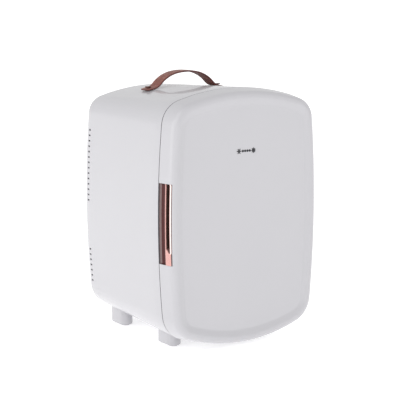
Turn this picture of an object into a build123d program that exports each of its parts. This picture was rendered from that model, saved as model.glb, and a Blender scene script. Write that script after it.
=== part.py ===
"""A four-litre thermoelectric mini fridge that cools or warms.

Millimetres, +Z up.  The origin is on the floor under the middle of the cabinet, the door faces -Y
and hangs on its right edge, at +X.  Outline sketches are drawn on upright planes whose own origin is
the middle of the cabinet, so their second number is a height above or below that middle.
"""

from build123d import *
import math
import os

os.makedirs("parts", exist_ok=True)

# ---------------------------------------------------------------- driving dimensions
body_width = 190.0
body_height = 270.0
total_depth = 196.0
floor_gap = 3.0            # from the floor to the lowest point of the bowed bottom
door_thickness = 19.8
door_gap = 1.0             # between the door's rear edge and the cabinet's front edge
wall = 2.5                 # moulded shells
fit_gap = 0.3              # round a piece that is dropped into a moulded pocket

corner_half_width = 88.7   # where the side and top arcs would meet before the corners are rounded
top_corner_height = 118.4
bottom_corner_height = 114.4
top_corner_radius = 27.0
bottom_corner_radius = 32.0
body_draft = 2.0           # degrees, the cabinet narrows towards the back
back_edge_radius = 18.0
door_draft = 10.0          # degrees, the door narrows towards the front
door_edge_radius = 7.0
dish_inset = 10.4          # from the door's outline to the edge of its recessed front panel
dish_slope = 6.6
dish_depth = 2.0

cavity_width = 144.0
cavity_height = 205.0
cavity_corner = 12.0
cavity_depth = 122.7
liner_wall = 1.5

hinge_x = 90.8
hinge_setback = 5.7        # the hinge axis lies this far in front of the cabinet's front edge
hinge_height = 62.0        # of each hinge above or below the middle
knuckle_radius = 2.6
knuckle_length = 10.0
pin_radius = 1.25
pin_length = 26.0
running_gap = 0.05

grip_height = 83.0
grip_middle = 1.5
grip_depth = 8.0
grip_width = 18.0

vent_pitch = 6.0
vent_length = 4.6
vent_height = 2.0
vent_y = 79.5
upper_vents = 14
upper_vent_start = 3.7
lower_vents = 7
lower_vent_start = -88.2

strap_width = 18.0
strap_thickness = 1.8
strap_half_length = 50.4
strap_half_arch = 39.8
strap_y = 23.0
strap_rise = 16.2          # from the roof to the top of the arch
strap_arch_drop = 25.0     # upright half-axis of the arch's ellipse

fan_size = 80.0
fan_thickness = 10.0
fan_hole_pitch = 71.5
cooler_height = 20.0       # the cold plate, the heat sink and the fan are centred this far up
block_size = 40.0

foot_width = 15.9
foot_length = 31.0
foot_outer_x = 66.2
front_foot_y = -39.6
back_foot_y = 61.6
pad_thickness = 1.2

# ---------------------------------------------------------------- worked-out places
middle_z = floor_gap + body_height / 2
front_y = -total_depth / 2
back_y = total_depth / 2
door_rear_y = front_y + door_thickness
body_front_y = door_rear_y + door_gap
body_depth = back_y - body_front_y
beyond_x = body_width / 2 + 5    # clear of the cabinet's sides
side_bow = body_width / 2 - corner_half_width
top_bow = body_height / 2 - top_corner_height
bottom_bow = body_height / 2 - bottom_corner_height
hinge_y = body_front_y - hinge_setback
frame_front_y = body_front_y + 0.5
frame_thickness = 3.0
liner_back_y = frame_front_y + cavity_depth
foot_x = foot_outer_x - foot_width / 2
foot_places = {
    "foot_front_left": (-foot_x, front_foot_y),
    "foot_front_right": (foot_x, front_foot_y),
    "foot_back_left": (-foot_x, back_foot_y),
    "foot_back_right": (foot_x, back_foot_y),
}


def upright(y):
    """The upright plane at y that faces the front, with its origin at the cabinet's middle height."""
    return Plane(origin=(0, y, middle_z), x_dir=(1, 0, 0), z_dir=(0, -1, 0))


def arc_radius(half_chord, bow):
    """Radius of the arc that rises by bow over a chord of twice half_chord."""
    return (half_chord ** 2 + bow ** 2) / (2 * bow)


def bowed_outline(inset=0.0):
    """The cabinet's outline seen from the front, drawn in by inset all round.

    It is what four large discs have in common, with its four corners rounded.
    """
    side_height = (top_corner_height - bottom_corner_height) / 2
    side_radius = arc_radius((top_corner_height + bottom_corner_height) / 2, side_bow)
    top_radius = arc_radius(corner_half_width, top_bow)
    bottom_radius = arc_radius(corner_half_width, bottom_bow)
    with BuildSketch() as outline:
        with Locations((0, body_height / 2 - top_radius)):
            Circle(top_radius - inset)
        with Locations((0, bottom_radius - body_height / 2)):
            Circle(bottom_radius - inset, mode=Mode.INTERSECT)
        for side in (-1, 1):
            with Locations((side * (body_width / 2 - side_radius), side_height)):
                Circle(side_radius - inset, mode=Mode.INTERSECT)
        fillet(outline.vertices().group_by(Axis.Y)[-1], radius=top_corner_radius - inset)
        fillet(outline.vertices().group_by(Axis.Y)[0], radius=bottom_corner_radius - inset)
    return outline.sketch


def draft_inset(depth, draft):
    """How far a drafted wall has drawn in after depth."""
    return depth * math.tan(math.radians(draft))


def roof_z(x, y):
    """Height of the roof's surface at x and y."""
    drop = top_bow * (x / corner_half_width) ** 2
    return middle_z + body_height / 2 - drop - draft_inset(y - body_front_y, body_draft)


def finish(builder, name):
    builder.part.label = name
    export_step(builder.part, f"parts/{name}.step")


def screws(name, plane, places, head_radius, head_height, shank_radius, shank_length, head_side=1):
    """One node of identical pan-head screws, with the heads on the plane's front (1) or back (-1)."""
    with BuildPart() as group:
        with BuildSketch(plane):
            with Locations(*places):
                Circle(head_radius)
        extrude(amount=head_side * head_height)
        with BuildSketch(plane):
            with Locations(*places):
                Circle(shank_radius)
        extrude(amount=-head_side * shank_length)
    finish(group, name)


# ---------------------------------------------------------------- cabinet shell
with BuildPart() as cabinet_solid:
    with BuildSketch(upright(body_front_y)):
        add(bowed_outline())
    extrude(amount=-body_depth, taper=body_draft)
    fillet(cabinet_solid.faces().sort_by(Axis.Y)[-1].edges(), radius=back_edge_radius)

with BuildPart() as cabinet_core:
    with BuildSketch(upright(body_front_y)):
        add(bowed_outline(wall))
    extrude(amount=-(body_depth - wall), taper=body_draft)
    fillet(cabinet_core.faces().sort_by(Axis.Y)[-1].edges(), radius=back_edge_radius - wall)

cover_width = 124.0
cover_height = 196.0
cover_corner = 14.0
ledge_reach = 6.0
ledge_thickness = 2.2
cover_inner_y = back_y - wall
cover_screw_places = [(sx * 46.0, sz * 94.6) for sx in (-1, 1) for sz in (-1, 1)]
strap_screw_x = 45.2
screw_radius = 1.5          # shank of every self-tapping screw
ledge_margin = 4.0
notch_middle_x = hinge_x + 4
notch_width = 12.0
foot_screw_places = list(foot_places.values())
knuckle_heights = (-hinge_height, hinge_height)
notch_back_y = body_front_y + 5.5

with BuildPart() as outer_shell:
    add(cabinet_solid.part)
    add(cabinet_core.part, mode=Mode.SUBTRACT)
    # the ledge that the rear cover lands on
    with BuildSketch(upright(cover_inner_y)):
        RectangleRounded(cover_width + 2 * ledge_margin, cover_height + 2 * ledge_margin, cover_corner)
    extrude(amount=ledge_thickness)
    with BuildSketch(upright(back_y)):
        RectangleRounded(cover_width, cover_height, cover_corner)
    extrude(amount=wall, mode=Mode.SUBTRACT)
    with BuildSketch(upright(back_y)):
        RectangleRounded(cover_width - 2 * ledge_reach, cover_height - 2 * ledge_reach,
                         cover_corner - ledge_reach)
    extrude(amount=wall + ledge_thickness, mode=Mode.SUBTRACT)
    with BuildSketch(upright(cover_inner_y)):
        with Locations(*cover_screw_places):
            Circle(screw_radius)
    extrude(amount=ledge_thickness, mode=Mode.SUBTRACT)
    # vent slots through both sides, just ahead of the back corners
    for start, count in ((upper_vent_start, upper_vents), (lower_vent_start, lower_vents)):
        with BuildSketch(Plane.YZ):
            for row in range(count):
                with Locations((vent_y, middle_z + start + row * vent_pitch)):
                    SlotOverall(vent_length, vent_height)
        extrude(amount=body_width, both=True, mode=Mode.SUBTRACT)
    # holes for the strap screws and for the foot screws
    with BuildSketch(Plane.XY.offset(middle_z)):
        with Locations((-strap_screw_x, strap_y), (strap_screw_x, strap_y)):
            Circle(screw_radius)
    extrude(amount=body_height, mode=Mode.SUBTRACT)
    with BuildSketch(Plane.XY.offset(middle_z)):
        with Locations(*foot_screw_places):
            Circle(screw_radius)
    extrude(amount=-body_height, mode=Mode.SUBTRACT)
    # notches in the front edge where the hinge arms come out
    for height in knuckle_heights:
        with Locations((notch_middle_x, (body_front_y + notch_back_y) / 2, middle_z + height)):
            Box(notch_width, notch_back_y - body_front_y, knuckle_length, mode=Mode.SUBTRACT)
finish(outer_shell, "outer_shell")

# ---------------------------------------------------------------- rear cover
inlet_x = 38.0
socket_x = 14.0
switch_x = -14.0
lamp_x = -38.0
panel_height = -72.0
inlet_size = (22.0, 14.0)
socket_size = (12.0, 12.0)
switch_size = (15.0, 22.0)
lamp_radius = 1.5
lamp_offset = 5.0
lamp_places = [(lamp_x, panel_height - lamp_offset), (lamp_x, panel_height + lamp_offset)]
grille_radius = 37.0
grille_pitch = 5.2
grille_slot = 2.8
grille_rows = 6
grille_rib_half = 3.0
grille_rim = 1.0
sink_hole_radius = 2.9     # countersink for the cover's screw heads
sink_hole_depth = 1.5

with BuildPart() as rear_cover:
    with BuildSketch(upright(back_y)):
        RectangleRounded(cover_width - 2 * fit_gap, cover_height - 2 * fit_gap, cover_corner - fit_gap)
    extrude(amount=wall)
    # fan grille: level slots inside a circle, with an upright rib down the middle
    with BuildSketch(upright(back_y)):
        for row in range(-grille_rows, grille_rows + 1):
            half = math.sqrt(grille_radius ** 2 - (row * grille_pitch) ** 2)
            length = half - grille_rib_half - grille_rim
            for side in (-1, 1):
                with Locations((side * (grille_rib_half + length / 2), cooler_height + row * grille_pitch)):
                    SlotOverall(length, grille_slot)
    extrude(amount=wall, mode=Mode.SUBTRACT)
    with BuildSketch(upright(back_y)):
        with Locations((inlet_x, panel_height)):
            Rectangle(*inlet_size)
        with Locations((socket_x, panel_height)):
            Rectangle(*socket_size)
        with Locations((switch_x, panel_height)):
            Rectangle(*switch_size)
        with Locations(*lamp_places):
            Circle(lamp_radius)
        with Locations(*cover_screw_places):
            Circle(screw_radius)
    extrude(amount=wall, mode=Mode.SUBTRACT)
    with BuildSketch(upright(back_y)):
        with Locations(*cover_screw_places):
            Circle(sink_hole_radius)
    extrude(amount=sink_hole_depth, mode=Mode.SUBTRACT)
finish(rear_cover, "rear_cover")

screws("rear_cover_screws", upright(back_y - sink_hole_depth), cover_screw_places, head_radius=2.6,
       head_height=1.4, shank_radius=screw_radius, shank_length=3.0, head_side=-1)

# ---------------------------------------------------------------- front frame, liner and insulation
liner_width = cavity_width + 2 * liner_wall
liner_height = cavity_height + 2 * liner_wall
striker_places = [(-85.5, -58.0), (-85.5, 60.0)]
striker_size = (8.0, 16.0)
striker_thickness = 1.2
arm_left = 88.6
arm_right = 93.0
hinge_screw_x = 84.0
hinge_screw_step = 9.0     # above and below each hinge
hinge_screw_radius = 1.2


def hinge_screw_places(height):
    """The two screws that hold the hinge at this height."""
    return [(hinge_screw_x, height - hinge_screw_step), (hinge_screw_x, height + hinge_screw_step)]


with BuildPart() as front_frame:
    with BuildSketch(upright(frame_front_y)):
        add(bowed_outline(wall + fit_gap))
        RectangleRounded(liner_width, liner_height, cavity_corner + liner_wall, mode=Mode.SUBTRACT)
    extrude(amount=-frame_thickness)
    with BuildSketch(upright(frame_front_y)):
        with Locations(*striker_places):
            Rectangle(*striker_size)
    extrude(amount=-striker_thickness, mode=Mode.SUBTRACT)
    for height in knuckle_heights:
        with Locations(((arm_left + beyond_x) / 2, frame_front_y + frame_thickness / 2, middle_z + height)):
            Box(beyond_x - arm_left, frame_thickness, knuckle_length, mode=Mode.SUBTRACT)
        with BuildSketch(upright(frame_front_y)):
            with Locations(*hinge_screw_places(height)):
                Circle(hinge_screw_radius)
        extrude(amount=-frame_thickness, mode=Mode.SUBTRACT)
finish(front_frame, "front_frame")

with BuildPart() as latch_strikers:
    with BuildSketch(upright(frame_front_y)):
        with Locations(*striker_places):
            Rectangle(*striker_size)
    extrude(amount=-striker_thickness)
finish(latch_strikers, "latch_strikers")

rail_height = 8.0
rail_reach = 2.5
rail_thickness = 3.0
rail_front_y = -44.0
plate_thickness = 3.5
plate_y = liner_back_y - plate_thickness

with BuildPart() as inner_liner:
    with BuildSketch(upright(frame_front_y)):
        RectangleRounded(liner_width, liner_height, cavity_corner + liner_wall)
    extrude(amount=-(cavity_depth + liner_wall))
    with BuildSketch(upright(frame_front_y)):
        RectangleRounded(cavity_width, cavity_height, cavity_corner)
    extrude(amount=-cavity_depth, mode=Mode.SUBTRACT)
    # one rail on each side wall for the shelf
    for side in (-1, 1):
        with Locations((side * (cavity_width - rail_reach) / 2, (rail_front_y + liner_back_y) / 2,
                        middle_z + rail_height - rail_thickness / 2)):
            Box(rail_reach, liner_back_y - rail_front_y, rail_thickness)
    with BuildSketch(upright(liner_back_y)):
        with Locations((0, cooler_height)):
            Rectangle(block_size, block_size)
    extrude(amount=-liner_wall, mode=Mode.SUBTRACT)
finish(inner_liner, "inner_liner")

foam_behind_liner = 16.0
foam_back_y = liner_back_y + foam_behind_liner
hinge_room = (30.0, 8.0, 28.0)
screw_room_radius = 3.0
foot_screw_room = 30.0     # above the cabinet's lowest point
foam_front_y = frame_front_y + frame_thickness
with BuildPart() as body_insulation:
    for y in (foam_front_y, foam_back_y):
        with BuildSketch(upright(y)):
            add(bowed_outline(wall + fit_gap + draft_inset(y - body_front_y, body_draft)))
    loft(ruled=True)
    with BuildSketch(upright(frame_front_y)):
        RectangleRounded(liner_width, liner_height, cavity_corner + liner_wall)
    extrude(amount=-(cavity_depth + liner_wall), mode=Mode.SUBTRACT)
    with BuildSketch(upright(foam_back_y)):
        with Locations((0, cooler_height)):
            Rectangle(block_size, block_size)
    extrude(amount=foam_behind_liner, mode=Mode.SUBTRACT)
    # room for the hinge brackets, the strap screws and the foot screws
    for height in knuckle_heights:
        with Locations((hinge_x, body_front_y + 6, middle_z + height)):
            Box(*hinge_room, mode=Mode.SUBTRACT)
    with BuildSketch(Plane.XY.offset(middle_z)):
        with Locations((-strap_screw_x, strap_y), (strap_screw_x, strap_y)):
            Circle(screw_room_radius)
    extrude(amount=body_height / 2, mode=Mode.SUBTRACT)
    with BuildSketch(Plane.XY.offset(floor_gap + foot_screw_room)):
        with Locations(*foot_screw_places):
            Circle(screw_room_radius)
    extrude(amount=-foot_screw_room, mode=Mode.SUBTRACT)
    for solid in body_insulation.solids().sort_by(SortBy.VOLUME)[:-1]:
        add(solid, mode=Mode.SUBTRACT)
finish(body_insulation, "body_insulation")

# ---------------------------------------------------------------- cold side
plate_width = 70.0
plate_height = 84.0
plate_screw_places = [(sx * 29.0, cooler_height + sz * 36.0) for sx in (-1, 1) for sz in (-1, 1)]
plate_corner = 5.0
plate_edge = 1.0
with BuildPart() as cold_plate:
    with BuildSketch(upright(plate_y)):
        with Locations((0, cooler_height)):
            RectangleRounded(plate_width, plate_height, plate_corner)
    extrude(amount=-plate_thickness)
    fillet(cold_plate.faces().sort_by(Axis.Y)[0].edges(), radius=plate_edge)
    with BuildSketch(upright(plate_y)):
        with Locations(*plate_screw_places):
            Circle(screw_radius)
    extrude(amount=-plate_thickness, mode=Mode.SUBTRACT)
finish(cold_plate, "cold_plate")

screws("cold_plate_screws", upright(plate_y), plate_screw_places, head_radius=3.0, head_height=1.6,
       shank_radius=screw_radius, shank_length=plate_thickness)

with BuildPart() as transfer_block:
    with BuildSketch(upright(liner_back_y)):
        with Locations((0, cooler_height)):
            Rectangle(block_size, block_size)
    extrude(amount=-(foam_back_y - liner_back_y))
finish(transfer_block, "transfer_block")

module_thickness = 3.8
with BuildPart() as peltier_module:
    with BuildSketch(upright(foam_back_y)):
        with Locations((0, cooler_height)):
            Rectangle(block_size, block_size)
    extrude(amount=-module_thickness)
finish(peltier_module, "peltier_module")

# ---------------------------------------------------------------- hot side
sink_front_y = foam_back_y + module_thickness
sink_base = 4.0
sink_width = 82.0
sink_height = 100.0
fin_height = 12.0
fin_thickness = 1.3
fin_pitch = 4.0
fin_count = 16
post_radius = 3.5
sink_back_y = sink_front_y + sink_base + fin_height
fan_screw_places = [(sx * fan_hole_pitch / 2, cooler_height + sz * fan_hole_pitch / 2)
                    for sx in (-1, 1) for sz in (-1, 1)]
sink_screw_places = [(-26.0, cooler_height), (26.0, cooler_height)]
sink_corner = 2.0
sink_screw_room = 3.2      # the fins are cut away round the clamping screws' heads
fan_screw_bite = 8.0
with BuildPart() as hot_heatsink:
    with BuildSketch(upright(sink_front_y)):
        with Locations((0, cooler_height)):
            RectangleRounded(sink_width, sink_height, sink_corner)
    extrude(amount=-sink_base)
    with BuildSketch(upright(sink_front_y + sink_base)):
        with Locations((0, cooler_height)):
            with GridLocations(fin_pitch, 0, fin_count, 1):
                Rectangle(fin_thickness, sink_height)
        with Locations(*fan_screw_places):
            Circle(post_radius)
    extrude(amount=-fin_height)
    with BuildSketch(upright(sink_back_y)):
        with Locations(*fan_screw_places):
            Circle(screw_radius)
    extrude(amount=fan_screw_bite, mode=Mode.SUBTRACT)
    # the two clamping screws go through between the fins
    with BuildSketch(upright(sink_front_y)):
        with Locations(*sink_screw_places):
            Circle(sink_screw_room)
    extrude(amount=-(sink_base + fin_height), mode=Mode.SUBTRACT)
finish(hot_heatsink, "hot_heatsink")

screws("heatsink_screws", upright(sink_front_y + sink_base), sink_screw_places, head_radius=2.9,
       head_height=2.0, shank_radius=screw_radius, shank_length=sink_base + 2, head_side=-1)

fan_seat_gap = 0.2
fan_front_y = sink_back_y + fan_seat_gap
fan_corner = 4.0
strut_width = 4.0
strut_length = 77.0        # from wall to wall of the bore, biting a millimetre into it
fan_bore = 37.5
motor_radius = 14.0
strut_depth = 2.0
shaft_radius = 1.5
with BuildPart() as fan_frame:
    with BuildSketch(upright(fan_front_y)):
        with Locations((0, cooler_height)):
            RectangleRounded(fan_size, fan_size, fan_corner)
            Circle(fan_bore, mode=Mode.SUBTRACT)
        with Locations(*fan_screw_places):
            Circle(screw_radius, mode=Mode.SUBTRACT)
    extrude(amount=-fan_thickness)
    with BuildSketch(upright(fan_front_y)):
        with Locations((0, cooler_height)):
            Circle(motor_radius)
            Rectangle(strut_length, strut_width, rotation=45)
            Rectangle(strut_length, strut_width, rotation=-45)
            Circle(shaft_radius + running_gap, mode=Mode.SUBTRACT)
    extrude(amount=-strut_depth)
finish(fan_frame, "fan_frame")

screws("fan_screws", upright(fan_front_y + fan_thickness), fan_screw_places, head_radius=2.8,
       head_height=1.5, shank_radius=screw_radius, shank_length=fan_thickness + 7, head_side=-1)

rotor_clearance = 0.4
rotor_front_y = fan_front_y + strut_depth + rotor_clearance
rotor_depth = fan_thickness - strut_depth - 2 * rotor_clearance
rotor_radius = 36.3
hub_radius = 13.5
blade_count = 7
blade_pitch = 32.0
blade_axis = Plane(origin=(0, rotor_front_y + rotor_depth / 2, middle_z + cooler_height),
                   x_dir=(1, 0, 0), z_dir=(0, -1, 0))
blade_chord = 17.0
blade_thickness = 1.2
blade_length = rotor_radius - hub_radius + 4
with BuildPart(blade_axis) as fan_blades:
    with PolarLocations(0, blade_count):
        with Locations(Location(((hub_radius + rotor_radius) / 2, 0, 0), (blade_pitch, 0, 0))):
            Box(blade_length, blade_chord, blade_thickness)
    with BuildSketch(blade_axis.offset(-rotor_depth / 2)):
        Circle(rotor_radius)
    extrude(amount=rotor_depth, mode=Mode.INTERSECT)

with BuildPart() as fan_rotor:
    with BuildSketch(upright(rotor_front_y)):
        with Locations((0, cooler_height)):
            Circle(hub_radius)
    extrude(amount=-rotor_depth)
    add(fan_blades.part)
    with BuildSketch(upright(rotor_front_y)):
        with Locations((0, cooler_height)):
            Circle(shaft_radius)
    extrude(amount=strut_depth)
finish(fan_rotor, "fan_rotor")

# ---------------------------------------------------------------- power board
board_rise = 3.0
board_y = foam_back_y + board_rise
board_thickness = 1.6
board_size = (104.0, 34.0)
board_height = -66.0
standoff_radius = 3.0
standoff_pin_radius = 1.6
standoff_places = [(sx * 47.0, board_height + sz * 13.0) for sx in (-1, 1) for sz in (-1, 1)]
with BuildPart() as power_board:
    with BuildSketch(upright(board_y)):
        with Locations((0, board_height)):
            Rectangle(*board_size)
        with Locations(*standoff_places):
            Circle(standoff_pin_radius, mode=Mode.SUBTRACT)
    extrude(amount=-board_thickness)
finish(power_board, "power_board")

with BuildPart() as board_standoffs:
    with BuildSketch(upright(foam_back_y)):
        with Locations(*standoff_places):
            Circle(standoff_radius)
    extrude(amount=-board_rise)
    with BuildSketch(upright(board_y)):
        with Locations(*standoff_places):
            Circle(standoff_pin_radius)
    extrude(amount=-(board_thickness + 1))
finish(board_standoffs, "board_standoffs")

component_y = board_y + board_thickness
transformer_place = (-33.0, board_height + 6)
transformer_core = (20.0, 18.0)
transformer_coil = (24.0, 13.0)
transformer_depth = 14.0
coil_depth = 8.0
coil_setback = 3.0
with BuildPart() as board_transformer:
    with BuildSketch(upright(component_y)):
        with Locations(transformer_place):
            Rectangle(*transformer_core)
    extrude(amount=-transformer_depth)
    with BuildSketch(upright(component_y + coil_setback)):
        with Locations(transformer_place):
            Rectangle(*transformer_coil)
    extrude(amount=-coil_depth)
finish(board_transformer, "board_transformer")

capacitor_depth = 12.0
with BuildPart() as board_capacitors:
    with BuildSketch(upright(component_y)):
        with Locations((-4, board_height + 9), (9, board_height + 9)):
            Circle(5)
        with Locations((20, board_height + 10)):
            Circle(3.2)
    extrude(amount=-capacitor_depth)
finish(board_capacitors, "board_capacitors")

# ---------------------------------------------------------------- sockets, switch and lamps
fixture_back_y = back_y - 0.4
inlet_depth = 15.0
inlet_mouth = (16.0, 8.4)
inlet_mouth_depth = 10.0
inlet_pin_x = 4.6
inlet_pin_radius = 1.2
inlet_pin_length = 7.5
with BuildPart() as ac_inlet:
    with BuildSketch(upright(fixture_back_y)):
        with Locations((inlet_x, panel_height)):
            Rectangle(*inlet_size)
    extrude(amount=inlet_depth)
    with BuildSketch(upright(fixture_back_y)):
        with Locations((inlet_x, panel_height)):
            SlotOverall(*inlet_mouth)
    extrude(amount=inlet_mouth_depth, mode=Mode.SUBTRACT)
finish(ac_inlet, "ac_inlet")

with BuildPart() as ac_inlet_pins:
    with BuildSketch(upright(fixture_back_y - inlet_mouth_depth)):
        with Locations((inlet_x - inlet_pin_x, panel_height), (inlet_x + inlet_pin_x, panel_height)):
            Circle(inlet_pin_radius)
    extrude(amount=-inlet_pin_length)
finish(ac_inlet_pins, "ac_inlet_pins")

socket_depth = 13.0
socket_bore = 2.9
socket_bore_depth = 9.0
with BuildPart() as dc_socket:
    with BuildSketch(upright(fixture_back_y)):
        with Locations((socket_x, panel_height)):
            Rectangle(*socket_size)
    extrude(amount=socket_depth)
    with BuildSketch(upright(fixture_back_y)):
        with Locations((socket_x, panel_height)):
            Circle(socket_bore)
    extrude(amount=socket_bore_depth, mode=Mode.SUBTRACT)
finish(dc_socket, "dc_socket")

socket_pin_radius = 1.05
socket_pin_length = 8.0
with BuildPart() as dc_socket_pin:
    with BuildSketch(upright(fixture_back_y - socket_bore_depth)):
        with Locations((socket_x, panel_height)):
            Circle(socket_pin_radius)
    extrude(amount=-socket_pin_length)
finish(dc_socket_pin, "dc_socket_pin")

switch_depth = 13.0
rocker_width = 10.0
rocker_gap = 0.4
rocker_opening = 18.4
switch_floor = 2.5
pivot_y = fixture_back_y - 6.5
trunnion_radius = 1.2
with BuildPart() as switch_bezel:
    with BuildSketch(upright(fixture_back_y)):
        with Locations((switch_x, panel_height)):
            Rectangle(*switch_size)
    extrude(amount=switch_depth)
    with BuildSketch(upright(fixture_back_y)):
        with Locations((switch_x, panel_height)):
            Rectangle(rocker_width + 2 * rocker_gap, rocker_opening)
    extrude(amount=switch_depth - switch_floor, mode=Mode.SUBTRACT)
    with BuildSketch(Plane.YZ.offset(switch_x)):
        with Locations((pivot_y, middle_z + panel_height)):
            Circle(trunnion_radius + running_gap)
    extrude(amount=rocker_width / 2 + 1.6, both=True, mode=Mode.SUBTRACT)
finish(switch_bezel, "switch_bezel")

rocker_reach = 6.0
with BuildPart() as mode_switch:
    with BuildSketch(Plane(origin=(switch_x, pivot_y, middle_z + panel_height), x_dir=(0, 1, 0),
                           z_dir=(1, 0, 0))):
        with BuildLine():
            Polyline((-2.5, -3), (rocker_reach, -7.4), (rocker_reach - 1.6, 0), (rocker_reach, 7.4),
                     (-2.5, 3), close=True)
        make_face()
    extrude(amount=rocker_width / 2, both=True)
    with BuildSketch(Plane.YZ.offset(switch_x)):
        with Locations((pivot_y, middle_z + panel_height)):
            Circle(trunnion_radius)
    extrude(amount=rocker_width / 2 + 1.4, both=True)
finish(mode_switch, "mode_switch")

lamp_setback = 0.1
lamp_depth = 5.0
with BuildPart() as status_lamps:
    with BuildSketch(upright(back_y - lamp_setback)):
        with Locations(*lamp_places):
            Circle(lamp_radius)
    extrude(amount=lamp_depth)
finish(status_lamps, "status_lamps")

# ---------------------------------------------------------------- feet
foot_pocket = 4.0
foot_pocket_radius = 3.2
foot_reach = 30.0          # long enough to run into the cabinet's underside
pad_margin = 3.0
for name, (x, y) in foot_places.items():
    with BuildPart() as foot:
        with BuildSketch(Plane.XY.offset(pad_thickness)):
            with Locations((x, y)):
                SlotOverall(foot_length, foot_width, rotation=90)
        extrude(amount=foot_reach)
        add(cabinet_solid.part, mode=Mode.SUBTRACT)
        # the cabinet's bottom cuts the post; only the part under it is the foot
        for solid in foot.solids().sort_by(Axis.Z)[1:]:
            add(solid, mode=Mode.SUBTRACT)
        with BuildSketch(Plane.XY.offset(pad_thickness)):
            with Locations((x, y)):
                Circle(foot_pocket_radius)
        extrude(amount=foot_pocket, mode=Mode.SUBTRACT)
        with BuildSketch(Plane.XY.offset(pad_thickness)):
            with Locations((x, y)):
                Circle(screw_radius)
        extrude(amount=foot_reach, mode=Mode.SUBTRACT)
    finish(foot, name)

with BuildPart() as foot_pads:
    with BuildSketch(Plane.XY):
        with Locations(*foot_screw_places):
            SlotOverall(foot_length - 2 * pad_margin, foot_width - 2 * pad_margin, rotation=90)
    extrude(amount=pad_thickness)
finish(foot_pads, "foot_pads")

foot_screw_tip = 21.0
screws("foot_screws", Plane.XY.offset(pad_thickness + foot_pocket), foot_screw_places, head_radius=2.9,
       head_height=1.8, shank_radius=screw_radius,
       shank_length=foot_screw_tip - pad_thickness - foot_pocket, head_side=-1)

# ---------------------------------------------------------------- carry strap
strap_clearance = 0.3
strap_front_y = strap_y - strap_width / 2
arch_middle_z = roof_z(0, strap_y) + strap_rise - strap_arch_drop
tab_end_z = roof_z(strap_half_length, strap_front_y) + strap_clearance
tab_root_z = roof_z(strap_half_arch - strap_thickness, strap_front_y) + strap_clearance


def arch_angle(z, half_axis):
    """Angle on the arch's ellipse, in degrees, at which it reaches the height z."""
    return math.degrees(math.asin((z - arch_middle_z) / half_axis))


with BuildPart() as carry_strap:
    with BuildSketch(Plane.XZ.offset(-strap_front_y)):
        with BuildLine():
            inner_drop = strap_arch_drop - strap_thickness
            inner_start = arch_angle(tab_root_z, inner_drop)
            inner = EllipticalCenterArc((0, arch_middle_z), strap_half_arch - strap_thickness, inner_drop,
                                        start_angle=inner_start, arc_size=180 - 2 * inner_start)
            outer_start = arch_angle(tab_root_z + strap_thickness, strap_arch_drop)
            outer = EllipticalCenterArc((0, arch_middle_z), strap_half_arch, strap_arch_drop,
                                        start_angle=outer_start, arc_size=180 - 2 * outer_start)
            for side, end in ((1, 0), (-1, 1)):
                Polyline(inner @ end,
                         (side * strap_half_length, tab_end_z),
                         (side * strap_half_length, tab_end_z + strap_thickness),
                         outer @ end)
        make_face()
    extrude(amount=-strap_width)
    with BuildSketch(Plane.XY.offset(middle_z)):
        with Locations((-strap_screw_x, strap_y), (strap_screw_x, strap_y)):
            Circle(screw_radius + fit_gap)
    extrude(amount=body_height, mode=Mode.SUBTRACT)
finish(carry_strap, "carry_strap")

rivet_radius = 3.2
rivet_height = 1.0
rivet_length = 12.0
rivet_z = roof_z(strap_screw_x - rivet_radius - 0.2, strap_front_y) + strap_clearance + strap_thickness + 0.2
with BuildPart() as strap_rivets:
    with BuildSketch(Plane.XY.offset(rivet_z)):
        with Locations((-strap_screw_x, strap_y), (strap_screw_x, strap_y)):
            Circle(rivet_radius)
    extrude(amount=rivet_height)
    with BuildSketch(Plane.XY.offset(rivet_z)):
        with Locations((-strap_screw_x, strap_y), (strap_screw_x, strap_y)):
            Circle(screw_radius)
    extrude(amount=-rivet_length)
finish(strap_rivets, "strap_rivets")

# ---------------------------------------------------------------- shelf
shelf_width = cavity_width - 1.6
shelf_corner = 4.0
shelf_front_y = -48.0
shelf_back_gap = 2.2
shelf_back_y = plate_y - shelf_back_gap
shelf_thickness = 2.5
shelf_lip = 6.0
shelf_z = middle_z + rail_height + 0.2
shelf_slots = 13
slot_pitch = 9.5
slot_size = (64.0, 3.4)
lip_thickness = 2.0
with BuildPart() as shelf:
    with BuildSketch(Plane.XY.offset(shelf_z)):
        with Locations((0, (shelf_front_y + shelf_back_y) / 2)):
            RectangleRounded(shelf_width, shelf_back_y - shelf_front_y, shelf_corner)
            with GridLocations(slot_pitch, 0, shelf_slots, 1):
                SlotOverall(*slot_size, rotation=90, mode=Mode.SUBTRACT)
    extrude(amount=shelf_thickness)
    with Locations((0, shelf_front_y + lip_thickness / 2, shelf_z + shelf_lip / 2)):
        Box(shelf_width - 10, lip_thickness, shelf_lip)
finish(shelf, "shelf")

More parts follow.
